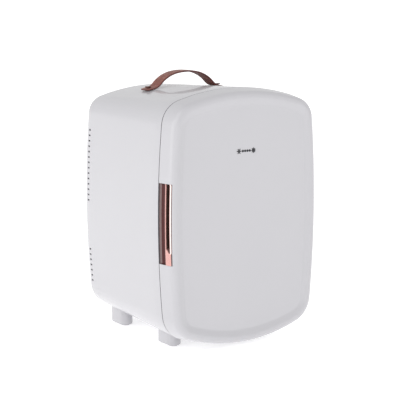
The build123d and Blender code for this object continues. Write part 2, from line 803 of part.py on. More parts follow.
# ---------------------------------------------------------------- hinges
plate_left = 80.0
foot_plate_thickness = 2.0
foot_plate_height = 25.0
for name, height in (("lower", -hinge_height), ("upper", hinge_height)):
    with BuildPart() as bracket:
        with BuildSketch(Plane.XY.offset(middle_z + height - knuckle_length / 2)):
            with Locations((hinge_x, hinge_y)):
                Circle(knuckle_radius)
            with Locations(((arm_left + arm_right) / 2, (hinge_y + notch_back_y) / 2)):
                Rectangle(arm_right - arm_left, notch_back_y - hinge_y)
            with Locations((hinge_x, hinge_y)):
                Circle(pin_radius + running_gap, mode=Mode.SUBTRACT)
        extrude(amount=knuckle_length)
        # the foot plate behind the front frame
        foot_plate_y = notch_back_y - foot_plate_thickness / 2
        with Locations(((plate_left + arm_left) / 2, foot_plate_y, middle_z + height)):
            Box(arm_left - plate_left, foot_plate_thickness, foot_plate_height)
        with Locations((arm_left, foot_plate_y, middle_z + height)):
            Box(foot_plate_thickness, foot_plate_thickness, knuckle_length)
        with BuildSketch(upright(notch_back_y)):
            with Locations(*hinge_screw_places(height)):
                Circle(hinge_screw_radius)
        extrude(amount=foot_plate_thickness, mode=Mode.SUBTRACT)
    finish(bracket, f"hinge_bracket_{name}")
    with BuildPart() as pin:
        with BuildSketch(Plane.XY.offset(middle_z + height - pin_length / 2)):
            with Locations((hinge_x, hinge_y)):
                Circle(pin_radius)
        extrude(amount=pin_length)
    finish(pin, f"hinge_pin_{name}")

all_hinge_screw_places = hinge_screw_places(-hinge_height) + hinge_screw_places(hinge_height)
screws("hinge_screws", upright(notch_back_y), all_hinge_screw_places, head_radius=2.2,
       head_height=1.4, shank_radius=hinge_screw_radius, shank_length=5.0, head_side=-1)

# ---------------------------------------------------------------- door shell
swing_radius = hinge_setback - 0.4
boss_left = 84.5
boss_front_y = hinge_y - 6.5
boss_height = 34.0
liner_front_y = door_rear_y - wall

with BuildPart() as door_solid:
    with BuildSketch(upright(door_rear_y)):
        add(bowed_outline())
    extrude(amount=door_thickness, taper=door_draft)
    fillet(door_solid.faces().sort_by(Axis.Y)[0].edges(), radius=door_edge_radius)

with BuildPart() as front_dish:
    with BuildSketch(upright(front_y)):
        add(bowed_outline(dish_inset))
    with BuildSketch(upright(front_y + dish_depth)):
        add(bowed_outline(dish_inset + dish_slope))
    loft(ruled=True)

door_core_depth = door_thickness - dish_depth - wall
with BuildPart() as door_core:
    with BuildSketch(upright(door_rear_y)):
        add(bowed_outline(wall))
    with BuildSketch(upright(door_rear_y - door_core_depth)):
        add(bowed_outline(wall + draft_inset(door_core_depth, door_draft)))
    loft(ruled=True)

# everything that would sweep into the cabinet beyond the arc about the hinge axis
with BuildPart() as swing_relief:
    with BuildSketch(Plane.XY):
        with Locations((hinge_x + 5, hinge_y + 5)):
            Rectangle(10, 10)
        with Locations((hinge_x, hinge_y)):
            Circle(swing_radius, mode=Mode.SUBTRACT)
    extrude(amount=floor_gap + body_height)

grip_floor_x = -body_width / 2 + grip_depth
grip_reach = 20.0          # from the floor of the grip's pocket to clear of the door's side
with BuildPart() as grip_block:
    with Locations((grip_floor_x - grip_reach / 2, door_rear_y - grip_width / 2,
                    middle_z + grip_middle)):
        Box(grip_reach, grip_width, grip_height)

# room for each hinge bracket's knuckle and arm
knuckle_room_width = 14.0
knuckle_room_depth = 11.4
knuckle_room_gap = 0.4
with BuildPart() as knuckle_pockets:
    for height in knuckle_heights:
        with Locations((hinge_x + 4, hinge_y + 1, middle_z + height)):
            Box(knuckle_room_width, knuckle_room_depth, knuckle_length + 2 * knuckle_room_gap)

# solid bosses that hold the hinge pins
with BuildPart() as hinge_bosses:
    for height in knuckle_heights:
        with Locations(((boss_left + beyond_x) / 2, (boss_front_y + liner_front_y) / 2, middle_z + height)):
            Box(beyond_x - boss_left, liner_front_y - boss_front_y, boss_height)
    add(door_solid.part, mode=Mode.INTERSECT)

# a thicker pad behind the grip's pocket
pad_wall = 2.5
with BuildPart() as grip_pad:
    with Locations((grip_floor_x + pad_wall - 0.5 - grip_reach / 2, (front_y + liner_front_y) / 2,
                    middle_z + grip_middle)):
        Box(grip_reach, liner_front_y - front_y, grip_height + 2 * pad_wall)
    add(door_solid.part, mode=Mode.INTERSECT)

with BuildPart() as door_shell:
    add(door_solid.part)
    add(front_dish.part, mode=Mode.SUBTRACT)
    add(door_core.part, mode=Mode.SUBTRACT)
    add(hinge_bosses.part)
    add(grip_pad.part)
    add(grip_block.part, mode=Mode.SUBTRACT)
    add(swing_relief.part, mode=Mode.SUBTRACT)
    add(knuckle_pockets.part, mode=Mode.SUBTRACT)
    for height in knuckle_heights:
        with Locations((hinge_x, hinge_y, middle_z + height)):
            Cylinder(pin_radius, pin_length, mode=Mode.SUBTRACT)
finish(door_shell, "door_shell")

# ---------------------------------------------------------------- grip trim
land_width = 9.0
land_depth = 1.5
land_end = 1.2
finger_slot_setback = 13.2
finger_slot_size = (14.0, 5.4)
finger_slot_bottom = -26.0
finger_slot_height = 66.0
with BuildPart() as grip_trim:
    add(door_solid.part)
    add(grip_block.part, mode=Mode.INTERSECT)
    # rear land, drawn in behind the ridge
    with Locations((land_depth - body_width / 2 - grip_reach / 2, door_rear_y - land_width / 2,
                    middle_z + grip_middle)):
        Box(grip_reach, land_width, grip_height - 2 * land_end, mode=Mode.SUBTRACT)
    # finger slot
    with BuildSketch(Plane.XY.offset(middle_z + finger_slot_bottom)):
        with Locations((-body_width / 2, door_rear_y - finger_slot_setback)):
            SlotOverall(*finger_slot_size)
    extrude(amount=finger_slot_height, mode=Mode.SUBTRACT)
finish(grip_trim, "grip_trim")

# ---------------------------------------------------------------- door liner, gasket, foam, magnets
plug_width = cavity_width - 6.0
plug_height = cavity_height - 6.0
plug_depth = 4.0
plug_corner = 10.0
plug_wall = 2.0
gasket_outer = (161.0, 222.0)
gasket_inner = (151.0, 212.0)
gasket_outer_corner = 18.0
gasket_inner_corner = 13.0
gasket_depth = 2.0
magnet_cover = 0.6         # skin left over the magnets
liner_screw_places = [(-85.5, 84.0), (-85.5, -84.0), (84.5, 88.0), (84.5, -88.0)]

with BuildPart() as door_liner:
    with BuildSketch(upright(door_rear_y)):
        add(bowed_outline(wall + fit_gap + draft_inset(wall, door_draft)))
    extrude(amount=wall)
    with BuildSketch(upright(door_rear_y)):
        RectangleRounded(plug_width, plug_height, plug_corner)
    extrude(amount=-plug_depth)
    # the plug is hollow from the front
    with BuildSketch(upright(liner_front_y)):
        RectangleRounded(plug_width - 2 * plug_wall, plug_height - 2 * plug_wall, plug_corner - plug_wall)
    extrude(amount=-(wall + plug_depth - plug_wall), mode=Mode.SUBTRACT)
    with BuildSketch(upright(door_rear_y)):
        RectangleRounded(*gasket_outer, gasket_outer_corner)
        RectangleRounded(*gasket_inner, gasket_inner_corner, mode=Mode.SUBTRACT)
    extrude(amount=gasket_depth, mode=Mode.SUBTRACT)
    with BuildSketch(upright(liner_front_y)):
        with Locations(*striker_places):
            Rectangle(*striker_size)
    extrude(amount=-(wall - magnet_cover), mode=Mode.SUBTRACT)
    with BuildSketch(upright(door_rear_y)):
        with Locations(*liner_screw_places):
            Circle(screw_radius)
    extrude(amount=wall, mode=Mode.SUBTRACT)
    add(grip_block.part, mode=Mode.SUBTRACT)
    add(swing_relief.part, mode=Mode.SUBTRACT)
    add(knuckle_pockets.part, mode=Mode.SUBTRACT)
finish(door_liner, "door_liner")

with BuildPart() as door_liner_screws:
    with BuildSketch(upright(door_rear_y)):
        with Locations(*liner_screw_places):
            Circle(screw_radius)
    extrude(amount=wall)
finish(door_liner_screws, "door_liner_screws")

with BuildPart() as door_gasket:
    with BuildSketch(upright(frame_front_y - fit_gap)):
        RectangleRounded(*gasket_outer, gasket_outer_corner)
        RectangleRounded(*gasket_inner, gasket_inner_corner, mode=Mode.SUBTRACT)
    extrude(amount=gasket_depth + frame_front_y - fit_gap - door_rear_y)
finish(door_gasket, "door_gasket")

with BuildPart() as door_magnets:
    with BuildSketch(upright(liner_front_y)):
        with Locations(*striker_places):
            Rectangle(*striker_size)
    extrude(amount=-(wall - magnet_cover))
finish(door_magnets, "door_magnets")

door_foam_size = (150.0, 212.0)
foam_inset = plug_wall + fit_gap
with BuildPart() as door_insulation:
    with BuildSketch(upright(liner_front_y)):
        Rectangle(*door_foam_size)
    extrude(amount=liner_front_y - front_y - dish_depth - wall - fit_gap)
    with BuildSketch(upright(liner_front_y)):
        RectangleRounded(plug_width - 2 * foam_inset, plug_height - 2 * foam_inset, plug_corner - foam_inset)
    extrude(amount=-(wall + plug_depth - foam_inset))
finish(door_insulation, "door_insulation")

# ---------------------------------------------------------------- door basket
basket_width = 120.0
basket_depth = 26.0
basket_height = 42.0
basket_wall = 1.8
basket_corner = 5.0
basket_front_y = door_rear_y + plug_depth + fit_gap
basket_z = middle_z - 94.0
with BuildPart() as door_basket:
    with BuildSketch(Plane.XY.offset(basket_z)):
        with Locations((0, basket_front_y + basket_depth / 2)):
            RectangleRounded(basket_width, basket_depth, basket_corner)
    extrude(amount=basket_height)
    with BuildSketch(Plane.XY.offset(basket_z + basket_wall)):
        with Locations((0, basket_front_y + basket_depth / 2)):
            RectangleRounded(basket_width - 2 * basket_wall, basket_depth - 2 * basket_wall,
                             basket_corner - basket_wall)
    extrude(amount=basket_height, mode=Mode.SUBTRACT)
finish(door_basket, "door_basket")

# ---------------------------------------------------------------- door mark: cold and warm pictogram
mark_x = 0.4
mark_height = 70.8
mark_thickness = 0.2
flake_x = mark_x - 9.3
sun_x = mark_x + 9.3
dot_pitch = 2.9
with BuildPart() as door_mark:
    with BuildSketch(upright(front_y + dish_depth)):
        with Locations((flake_x, mark_height)):
            for turn in (0, 60, 120):
                Rectangle(5.0, 1.1, rotation=turn)
        with Locations((mark_x, mark_height)):
            with GridLocations(dot_pitch, 0, 4, 1):
                Circle(0.95)
        with Locations((sun_x, mark_height)):
            Circle(1.6)
            with PolarLocations(2.4, 8):
                Rectangle(0.9, 0.7)
    extrude(amount=mark_thickness)
finish(door_mark, "door_mark")
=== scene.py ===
import math

import bmesh
import bpy
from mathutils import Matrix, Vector


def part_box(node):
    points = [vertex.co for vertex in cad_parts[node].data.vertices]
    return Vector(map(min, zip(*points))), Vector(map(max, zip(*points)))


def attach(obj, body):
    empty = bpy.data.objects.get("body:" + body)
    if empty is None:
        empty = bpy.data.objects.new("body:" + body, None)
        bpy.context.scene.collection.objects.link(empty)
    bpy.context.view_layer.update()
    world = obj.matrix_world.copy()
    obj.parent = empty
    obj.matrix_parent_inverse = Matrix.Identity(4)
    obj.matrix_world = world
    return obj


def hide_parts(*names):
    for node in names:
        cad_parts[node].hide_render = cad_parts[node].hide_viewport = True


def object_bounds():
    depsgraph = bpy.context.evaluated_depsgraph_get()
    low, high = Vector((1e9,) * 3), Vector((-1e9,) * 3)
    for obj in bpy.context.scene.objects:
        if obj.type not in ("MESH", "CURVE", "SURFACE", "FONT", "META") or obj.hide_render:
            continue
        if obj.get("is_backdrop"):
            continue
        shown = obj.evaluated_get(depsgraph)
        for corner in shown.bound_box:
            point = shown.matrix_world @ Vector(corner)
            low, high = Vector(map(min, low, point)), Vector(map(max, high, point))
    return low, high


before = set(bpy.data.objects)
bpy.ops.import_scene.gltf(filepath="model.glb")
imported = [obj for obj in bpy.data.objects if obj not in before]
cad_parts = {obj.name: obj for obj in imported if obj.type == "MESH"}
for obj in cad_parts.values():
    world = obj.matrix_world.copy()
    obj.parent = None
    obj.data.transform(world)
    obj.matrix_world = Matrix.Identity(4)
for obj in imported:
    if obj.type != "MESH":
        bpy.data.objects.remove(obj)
cad_low, cad_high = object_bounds()

MM = 0.001


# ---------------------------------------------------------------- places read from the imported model
def box_mm(node):
    low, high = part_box(node)
    return low / MM, high / MM


shell_low, shell_high = box_mm("outer_shell")
door_low, door_high = box_mm("door_shell")
HALF_WIDTH = (shell_high.x - shell_low.x) / 2
HALF_HEIGHT = (shell_high.z - shell_low.z) / 2
MIDDLE_Z = (shell_high.z + shell_low.z) / 2
BODY_FRONT = shell_low.y
BACK = shell_high.y
DOOR_REAR = door_high.y
FRONT = door_low.y

# the cabinet's outline: four shallow arcs and four round corners
CORNER_X = 88.7
TOP_CORNER = 118.4
BOTTOM_CORNER = 114.4
TOP_RADIUS = 27.0
BOTTOM_RADIUS = 32.0
WALL = 2.5
BODY_DRAFT = math.radians(2)
DOOR_DRAFT = math.radians(10)
BACK_EDGE = 18.0
DOOR_EDGE = 7.0
DISH_EDGE = 10.4
DISH_SLOPE = 6.6
DISH_DEPTH = 2.0
DISH_BLEND = 0.5           # how far the recess's slope runs on past each of its edges
SEAM = 0.02                # kept between two skins that would otherwise meet in one plane
GRIP_MIDDLE = 1.5          # the grip's height above the cabinet's middle


def sagitta_radius(half_chord, bow):
    return (half_chord ** 2 + bow ** 2) / (2 * bow)


def corner_centre(first, second, right, up):
    """Where two circles, each (x, z, radius), cross in the quadrant that right and up name."""
    (x0, z0, r0), (x1, z1, r1) = first, second
    apart = math.hypot(x1 - x0, z1 - z0)
    along = (r0 ** 2 - r1 ** 2 + apart ** 2) / (2 * apart)
    across = math.sqrt(r0 ** 2 - along ** 2)
    ux, uz = (x1 - x0) / apart, (z1 - z0) / apart
    for sign in (-1, 1):
        x = x0 + along * ux - sign * across * uz
        z = z0 + along * uz + sign * across * ux
        if x * right > 0 and z * up > 0:
            return x, z


def smooth(low, high, value):
    """0 below low and 1 above high, with an easy curve between; low may be the larger."""
    share = min(1.0, max(0.0, (value - low) / (high - low)))
    return share * share * (3 - 2 * share)


SIDE_STEPS, CORNER_STEPS, END_STEPS = 26, 18, 22


def arc_points(centre, radius, start, end, steps):
    """Points and outward directions along an arc, without its last point."""
    while end < start:
        end += 2 * math.pi
    for step in range(steps):
        angle = start + (end - start) * step / steps
        c, s = math.cos(angle), math.sin(angle)
        yield centre[0] + radius * c, centre[1] + radius * s, c, s


def outline_marks():
    """The outline's points with their outward directions, anticlockwise from the bottom right."""
    side_height = (TOP_CORNER - BOTTOM_CORNER) / 2
    side = sagitta_radius((TOP_CORNER + BOTTOM_CORNER) / 2, HALF_WIDTH - CORNER_X)
    top = sagitta_radius(CORNER_X, HALF_HEIGHT - TOP_CORNER)
    bottom = sagitta_radius(CORNER_X, HALF_HEIGHT - BOTTOM_CORNER)
    discs = {"right": (HALF_WIDTH - side, side_height, side), "top": (0.0, HALF_HEIGHT - top, top),
             "left": (side - HALF_WIDTH, side_height, side), "bottom": (0.0, bottom - HALF_HEIGHT, bottom)}
    order = ["right", "top", "left", "bottom"]
    corners = {}
    for sideways, endways, right, up in (("right", "top", 1, 1), ("left", "top", -1, 1),
                                         ("left", "bottom", -1, -1), ("right", "bottom", 1, -1)):
        radius = TOP_RADIUS if up > 0 else BOTTOM_RADIUS
        a = discs[sideways][:2] + (discs[sideways][2] - radius,)
        b = discs[endways][:2] + (discs[endways][2] - radius,)
        corners[frozenset((sideways, endways))] = corner_centre(a, b, right, up) + (radius,)
    marks = []
    for index, name in enumerate(order):
        cx, cz, radius = discs[name]
        before = corners[frozenset((order[index - 1], name))]
        after = corners[frozenset((name, order[(index + 1) % 4]))]
        start = math.atan2(before[1] - cz, before[0] - cx)
        end = math.atan2(after[1] - cz, after[0] - cx)
        steps = SIDE_STEPS if name in ("right", "left") else END_STEPS
        marks += arc_points((cx, cz), radius, start, end, steps)
        nx, nz, _ = discs[order[(index + 1) % 4]]
        turn_end = math.atan2(after[1] - nz, after[0] - nx)
        marks += arc_points(after[:2], after[2], end, turn_end, CORNER_STEPS)
    return marks


OUTLINE = outline_marks()


def outline(inset):
    return [(x - inset * nx, z - inset * nz) for x, z, nx, nz in OUTLINE]


def rounded_box(half_width, half_height, radius):
    """A rounded rectangle with as many points as the outline, starting at the same place."""
    w, h = half_width - radius, half_height - radius
    points = []
    for quarter, (cx, cz, ex, ez, steps) in enumerate((
            (w, -h, w, h, SIDE_STEPS), (w, h, -w, h, END_STEPS),
            (-w, h, -w, -h, SIDE_STEPS), (-w, -h, w, -h, END_STEPS))):
        angle = quarter * math.pi / 2
        c, s = math.cos(angle) * radius, math.sin(angle) * radius
        for step in range(steps):
            t = step / steps
            points.append((cx + (ex - cx) * t + c, cz + (ez - cz) * t + s))
        for step in range(CORNER_STEPS):
            turn = angle + math.pi / 2 * step / CORNER_STEPS
            points.append((ex + radius * math.cos(turn), ez + radius * math.sin(turn)))
    return points


# ---------------------------------------------------------------- meshes
def put(name, mesh, body, finishes, replaced, sharp=35):
    """A finished mesh becomes a piece of the fridge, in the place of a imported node."""
    piece = bpy.data.objects.new(name, mesh)
    bpy.context.scene.collection.objects.link(piece)
    mesh.materials.clear()
    for finish in finishes:
        mesh.materials.append(finish)
    mesh.shade_smooth()
    mesh.set_sharp_from_angle(angle=math.radians(sharp))
    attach(piece, body)
    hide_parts(replaced)


def mesh_from(name, points, faces):
    """A closed mesh from points in millimetres, with its faces outwards."""
    made = bmesh.new()
    corners = [made.verts.new(Vector(point) * MM) for point in points]
    for face in faces:
        made.faces.new([corners[i] for i in face])
    bmesh.ops.recalc_face_normals(made, faces=made.faces)
    mesh = bpy.data.meshes.new(name)
    made.to_mesh(mesh)
    made.free()
    return mesh


def rings_mesh(name, rings, closed):
    """Skin over rings of equally many points, joined last to first if closed and capped if not."""
    count = len(rings[0])
    points = [point for ring in rings for point in ring]
    faces = []
    for i in range(len(rings) if closed else len(rings) - 1):
        a, b = i * count, ((i + 1) % len(rings)) * count
        for j in range(count):
            k = (j + 1) % count
            faces.append((a + j, a + k, b + k, b + j))
    if not closed:
        faces += [tuple(range(count)), tuple(range((len(rings) - 1) * count, len(rings) * count))]
    return mesh_from(name, points, faces)


def upright_ring(flat, y):
    return [(x, y, z + MIDDLE_Z) for x, z in flat]


def block(low, high):
    """A plain closed box between two corners, for cutting and joining."""
    (x0, y0, z0), (x1, y1, z1) = low, high
    points = [(x, y, z) for z in (z0, z1) for y in (y0, y1) for x in (x0, x1)]
    return mesh_from("cutter", points, [(0, 1, 3, 2), (4, 6, 7, 5), (0, 4, 5, 1), (2, 3, 7, 6),
                                        (0, 2, 6, 4), (1, 5, 7, 3)])


def upright_block(across, along, middle, half):
    """A block between two places across, x, and along, y, and as high as two halves."""
    return block((across[0], along[0], middle - half), (across[1], along[1], middle + half))


def settled(piece):
    """The piece's mesh as its modifiers leave it."""
    bpy.context.view_layer.update()
    graph = bpy.context.evaluated_depsgraph_get()
    return bpy.data.meshes.new_from_object(piece.evaluated_get(graph))


def combine(mesh, tools):
    """Cuts, joins or intersects a mesh with others, each given as (operation, mesh)."""
    work = bpy.data.objects.new("bench", mesh)
    bpy.context.scene.collection.objects.link(work)
    helpers = []
    for operation, tool in tools:
        helper = bpy.data.objects.new("tool", tool)
        bpy.context.scene.collection.objects.link(helper)
        helpers.append(helper)
        modifier = work.modifiers.new(operation, "BOOLEAN")
        modifier.operation = operation
        modifier.solver = "EXACT"
        modifier.object = helper
    result = settled(work)
    for spare in [work] + helpers:
        bpy.data.objects.remove(spare)
    return result


# ---------------------------------------------------------------- node trees
class Wire:
    """A node's output that can be written into sums."""

    def __init__(self, tree, socket):
        self.tree = tree
        self.socket = socket

    def sum(self, operation, first, second):
        return self.tree.node("ShaderNodeMath", {"operation": operation}, {0: first, 1: second})

    def __add__(self, other):
        return self.sum("ADD", self, other)

    def __radd__(self, other):
        return self.sum("ADD", other, self)

    def __sub__(self, other):
        return self.sum("SUBTRACT", self, other)

    def __rsub__(self, other):
        return self.sum("SUBTRACT", other, self)

    def __mul__(self, other):
        return self.sum("MULTIPLY", self, other)

    def __rmul__(self, other):
        return self.sum("MULTIPLY", other, self)


class Tree:
    """A node tree being joined up, for a finish or for a shape."""

    def __init__(self, group):
        self.group = group

    def feed(self, socket, value):
        if isinstance(value, Wire):
            self.group.links.new(value.socket, socket)
        else:
            socket.default_value = value

    def node(self, kind, settings=None, inputs=None, output=0):
        """Any node: its settings first, then the values or links of its sockets."""
        made = self.group.nodes.new(kind)
        for key, value in (settings or {}).items():
            setattr(made, key, value)
        for key, value in (inputs or {}).items():
            self.feed(made.inputs[key], value)
        return Wire(self, made.outputs[output])


class Finish(Tree):
    """A material on object coordinates, built round one Principled shader."""

    def __init__(self, name, **constants):
        self.material = bpy.data.materials.new(name)
        self.material.use_nodes = True
        super().__init__(self.material.node_tree)
        self.shader = self.group.nodes["Principled BSDF"]
        for key, value in constants.items():
            self.shader.inputs[key.replace("_", " ").title().replace("Ior", "IOR")].default_value = value
        self.place = self.node("ShaderNodeTexCoord", output="Object")

    def noise(self, scale, detail=3.0, stretch=None):
        place = self.place
        if stretch:
            place = self.node("ShaderNodeMapping", None, {"Vector": place, "Scale": stretch})
        return self.node("ShaderNodeTexNoise", None, {"Vector": place, "Scale": scale, "Detail": detail,
                                                      "Roughness": 0.55})

    def spread(self, wire, low, high, start=0.3, end=0.7):
        """A noise value carried smoothly from start..end to low..high."""
        return self.node("ShaderNodeMapRange", None, {"Value": wire, "From Min": start, "From Max": end,
                                                      "To Min": low, "To Max": high})

    def mix(self, factor, first, second):
        return self.node("ShaderNodeMix", {"data_type": "RGBA"}, {0: factor, 6: first, 7: second}, output=2)

    def bump(self, height, distance, strength=1.0):
        return self.node("ShaderNodeBump", None, {"Height": height, "Distance": distance,
                                                  "Strength": strength})

    def give(self, **links):
        for key, value in links.items():
            self.feed(self.shader.inputs[key.replace("_", " ").title()], value)
        return self.material


def grey(level):
    return (level, level, level, 1.0)


def rgb(red, green, blue):
    """A colour given as it looks on a screen, from 0 to 255."""
    def linear(value):
        value /= 255
        return value / 12.92 if value <= 0.04045 else ((value + 0.055) / 1.055) ** 2.4
    return linear(red), linear(green), linear(blue), 1.0


def moulded_plastic(name, colour, roughness, grain, coat=0.0, variation=0.012):
    """Injection-moulded plastic: a faint orange-peel skin, slow colour drift and slightly uneven gloss."""
    finish = Finish(name, roughness=roughness, coat_weight=coat, coat_roughness=0.05)
    drift = finish.spread(finish.noise(9.0, 2.0), 0.0, 1.0)
    dark = tuple(channel * (1 - variation) for channel in colour[:3]) + (1.0,)
    rubs = finish.noise(45.0, 3.0)
    shine = finish.spread(rubs, roughness - 0.015, roughness + 0.02)
    peel = finish.noise(900.0, 2.0)
    return finish.give(base_color=finish.mix(drift, colour, dark), roughness=shine,
                       normal=finish.bump(peel, grain))


def worn_metal(name, colour, roughness, brushed=(1.0, 1.0, 1.0), metallic=1.0):
    """Bare metal with a drawn or tumbled surface and small dull patches."""
    finish = Finish(name, metallic=metallic)
    streaks = finish.noise(700.0, 3.0, stretch=brushed)
    patches = finish.spread(finish.noise(60.0, 3.0), 0.0, 1.0)
    dull = tuple(channel * 0.85 for channel in colour[:3]) + (1.0,)
    return finish.give(base_color=finish.mix(patches, colour, dull),
                       roughness=finish.spread(streaks, roughness * 0.75, roughness * 1.3),
                       normal=finish.bump(streaks, 0.000006))


# ---------------------------------------------------------------- finishes
shell_gloss = moulded_plastic("Casing_Gloss_White", rgb(187, 186, 190), 0.32, 0.000003, coat=0.5)
# the same casing plastic made a little lighter for the recessed panel's flat: painted light
panel_lit_gloss = moulded_plastic("Panel_Gloss_White", rgb(189, 188, 192), 0.32, 0.000003, coat=0.5)
cover_satin = moulded_plastic("Cover_Satin_White", rgb(198, 197, 201), 0.42, 0.00002)
liner_satin = moulded_plastic("Liner_Satin_White", rgb(208, 208, 211), 0.38, 0.00001)
fan_black = moulded_plastic("Fan_Black", rgb(26, 27, 29), 0.45, 0.00002, variation=0.2)
fixture_black = moulded_plastic("Fixture_Black", rgb(20, 20, 22), 0.38, 0.00001, variation=0.2)
bracket_white = moulded_plastic("Bracket_White", rgb(190, 189, 193), 0.3, 0.000006)
pad_rubber = moulded_plastic("Pad_Rubber", rgb(188, 188, 191), 0.8, 0.00004, variation=0.1)
# dark grey for the front face of the cabinet's lip: painted shade in the gap behind the door
gap_shade_grey = moulded_plastic("Lip_Rubber", rgb(96, 96, 100), 0.7, 0.00002, variation=0.08)
gasket_grey = moulded_plastic("Gasket_Grey", rgb(176, 178, 182), 0.6, 0.00002, variation=0.08)
magnet_grey = moulded_plastic("Magnet_Grey", rgb(70, 68, 66), 0.7, 0.00003, variation=0.2)
module_white = moulded_plastic("Module_Ceramic", rgb(236, 236, 230), 0.55, 0.00001)
screw_steel = worn_metal("Screw_Steel", rgb(188, 189, 192), 0.28)
aluminium = worn_metal("Bare_Aluminium", rgb(205, 207, 210), 0.34, brushed=(0.08, 1.0, 1.0))
pin_brass = worn_metal("Pin_Brass", rgb(205, 178, 118), 0.25)
rivet_brown = worn_metal("Rivet_Brown", rgb(96, 58, 50), 0.45, metallic=0.5)


def foam_finish():
    """Cut foam: open cells over a warm yellow block."""
    finish = Finish("Foam_Cells", roughness=0.95)
    cells = finish.node("ShaderNodeTexVoronoi", {"feature": "F1"}, {"Vector": finish.place, "Scale": 900.0})
    drift = finish.spread(finish.noise(25.0), 0.0, 1.0)
    tone = finish.mix(drift, rgb(226, 214, 176), rgb(206, 190, 148))
    walls = finish.spread(cells, 0.0, 1.0, 0.0, 0.7)
    return finish.give(base_color=finish.mix(walls, rgb(170, 152, 110), tone),
                       normal=finish.bump(cells, 0.0003, 0.6))


def board_finish():
    """Green solder mask with faint tracks under it."""
    finish = Finish("Board_Green", roughness=0.35)
    tracks = finish.node("ShaderNodeTexBrick", {"offset": 0.5}, {"Vector": finish.place, "Scale": 260.0,
                                                                 "Mortar Size": 0.05})
    mask = finish.spread(tracks, 0.0, 0.5, 0.0, 1.0)
    return finish.give(base_color=finish.mix(mask, rgb(24, 84, 48), rgb(46, 112, 66)))


def tape_finish():
    """Yellow polyester tape wound in layers."""
    finish = Finish("Transformer_Tape", roughness=0.4)
    wraps = finish.node("ShaderNodeTexWave", {"wave_type": "BANDS", "bands_direction": "Z"},
                        {"Vector": finish.place, "Scale": 260.0, "Distortion": 0.6})
    return finish.give(base_color=finish.mix(wraps, rgb(206, 168, 40), rgb(232, 196, 72)))


def lamp_finish():
    """Milky lens over an unlit lamp."""
    finish = Finish("Lamp_Lens", roughness=0.2, coat_weight=0.4)
    haze = finish.spread(finish.noise(700.0), 0.0, 1.0)
    return finish.give(base_color=finish.mix(haze, rgb(206, 214, 208), rgb(170, 190, 178)))


def clear_finish():
    """Clear moulded plastic with faint flow lines."""
    finish = Finish("Clear_Plastic", transmission_weight=0.9, ior=1.49, base_color=rgb(240, 244, 246))
    flow = finish.noise(60.0, 3.0, stretch=(0.3, 1.0, 1.0))
    return finish.give(roughness=finish.spread(flow, 0.05, 0.14), normal=finish.bump(flow, 0.00005))


def ink_finish():
    """Pad-printed ink, slightly uneven at the edges of its dots."""
    finish = Finish("Mark_Ink", roughness=0.5)
    speck = finish.spread(finish.noise(1500.0), 0.0, 1.0)
    return finish.give(base_color=finish.mix(speck, rgb(24, 24, 28), rgb(40, 40, 45)))


def plated_finish(name, bright, worn, smooth, rough, metallic=0.8):
    """Rose-gold plating, duller where fingers reach."""
    finish = Finish(name, metallic=metallic, coat_weight=0.1, coat_roughness=0.1)
    handled = finish.spread(finish.noise(140.0, 4.0), 0.0, 1.0)
    fine = finish.noise(1100.0, 2.0, stretch=(1.0, 1.0, 0.15))
    return finish.give(base_color=finish.mix(handled, bright, worn),
                       roughness=finish.spread(fine, smooth, rough), normal=finish.bump(fine, 0.000003))


def leather_face():
    """Brown full-grain leather: pebbled cells, creases across the bend with a painted highlight along them,
    and darker handled patches.
    """
    finish = Finish("Strap_Leather", sheen_weight=0.08, sheen_roughness=0.4)
    warp = finish.noise(260.0, 3.0)
    cells = finish.node("ShaderNodeTexVoronoi", {"feature": "DISTANCE_TO_EDGE"},
                        {"Vector": finish.place, "Scale": 1300.0})
    pebble = finish.spread(cells, 0.0, 1.0, 0.0, 0.12)
    creases_and_sheen = finish.noise(420.0, 4.0, stretch=(1.0, 0.12, 1.0))
    tone = finish.mix(finish.spread(warp, 0.0, 1.0), rgb(142, 72, 54), rgb(108, 50, 38))
    # the lighter tone along the creases is a painted highlight; the creases also give the bump
    tone = finish.mix(finish.spread(creases_and_sheen, 0.0, 0.55, 0.5, 0.75), tone, rgb(170, 108, 86))
    tone = finish.mix((1 - pebble) * 0.45, tone, rgb(56, 30, 28))
    height = pebble * 0.6 + creases_and_sheen * 0.8
    return finish.give(base_color=tone, roughness=finish.spread(warp, 0.42, 0.6),
                       normal=finish.bump(height, 0.00018, 0.7))


def leather_edge():
    """Burgundy edge paint, rounded and a little glossy."""
    finish = Finish("Strap_Edge_Paint", coat_weight=0.2)
    lumps = finish.noise(500.0, 3.0)
    tone = finish.mix(finish.spread(lumps, 0.0, 1.0), rgb(98, 40, 36), rgb(78, 30, 28))
    return finish.give(base_color=tone, roughness=finish.spread(lumps, 0.3, 0.45),
                       normal=finish.bump(lumps, 0.00006))


rose_plating = plated_finish("Rose_Plating", rgb(214, 166, 160), rgb(206, 156, 150), 0.2, 0.3)
# one rose-gold plating in six tones: all but the first paint light onto it, with dark reflections on the
# land, hollow and rim, shade in the finger slot and a highlight on the lip
rose_painted_bands = [
    rose_plating,
    plated_finish("Rose_Land", rgb(118, 98, 97), rgb(110, 90, 88), 0.3, 0.4, 0.6),
    plated_finish("Rose_Hollow", rgb(74, 30, 30), rgb(68, 27, 27), 0.3, 0.4, 0.6),
    plated_finish("Rose_Slot", rgb(66, 44, 36), rgb(58, 38, 32), 0.4, 0.55, 0.4),
    plated_finish("Rose_Lip", rgb(252, 228, 224), rgb(246, 220, 216), 0.12, 0.18),
    plated_finish("Rose_Rim", rgb(96, 87, 86), rgb(90, 81, 80), 0.3, 0.4, 0.6),
]
strap_face, strap_edge = leather_face(), leather_edge()
mark_ink = ink_finish()

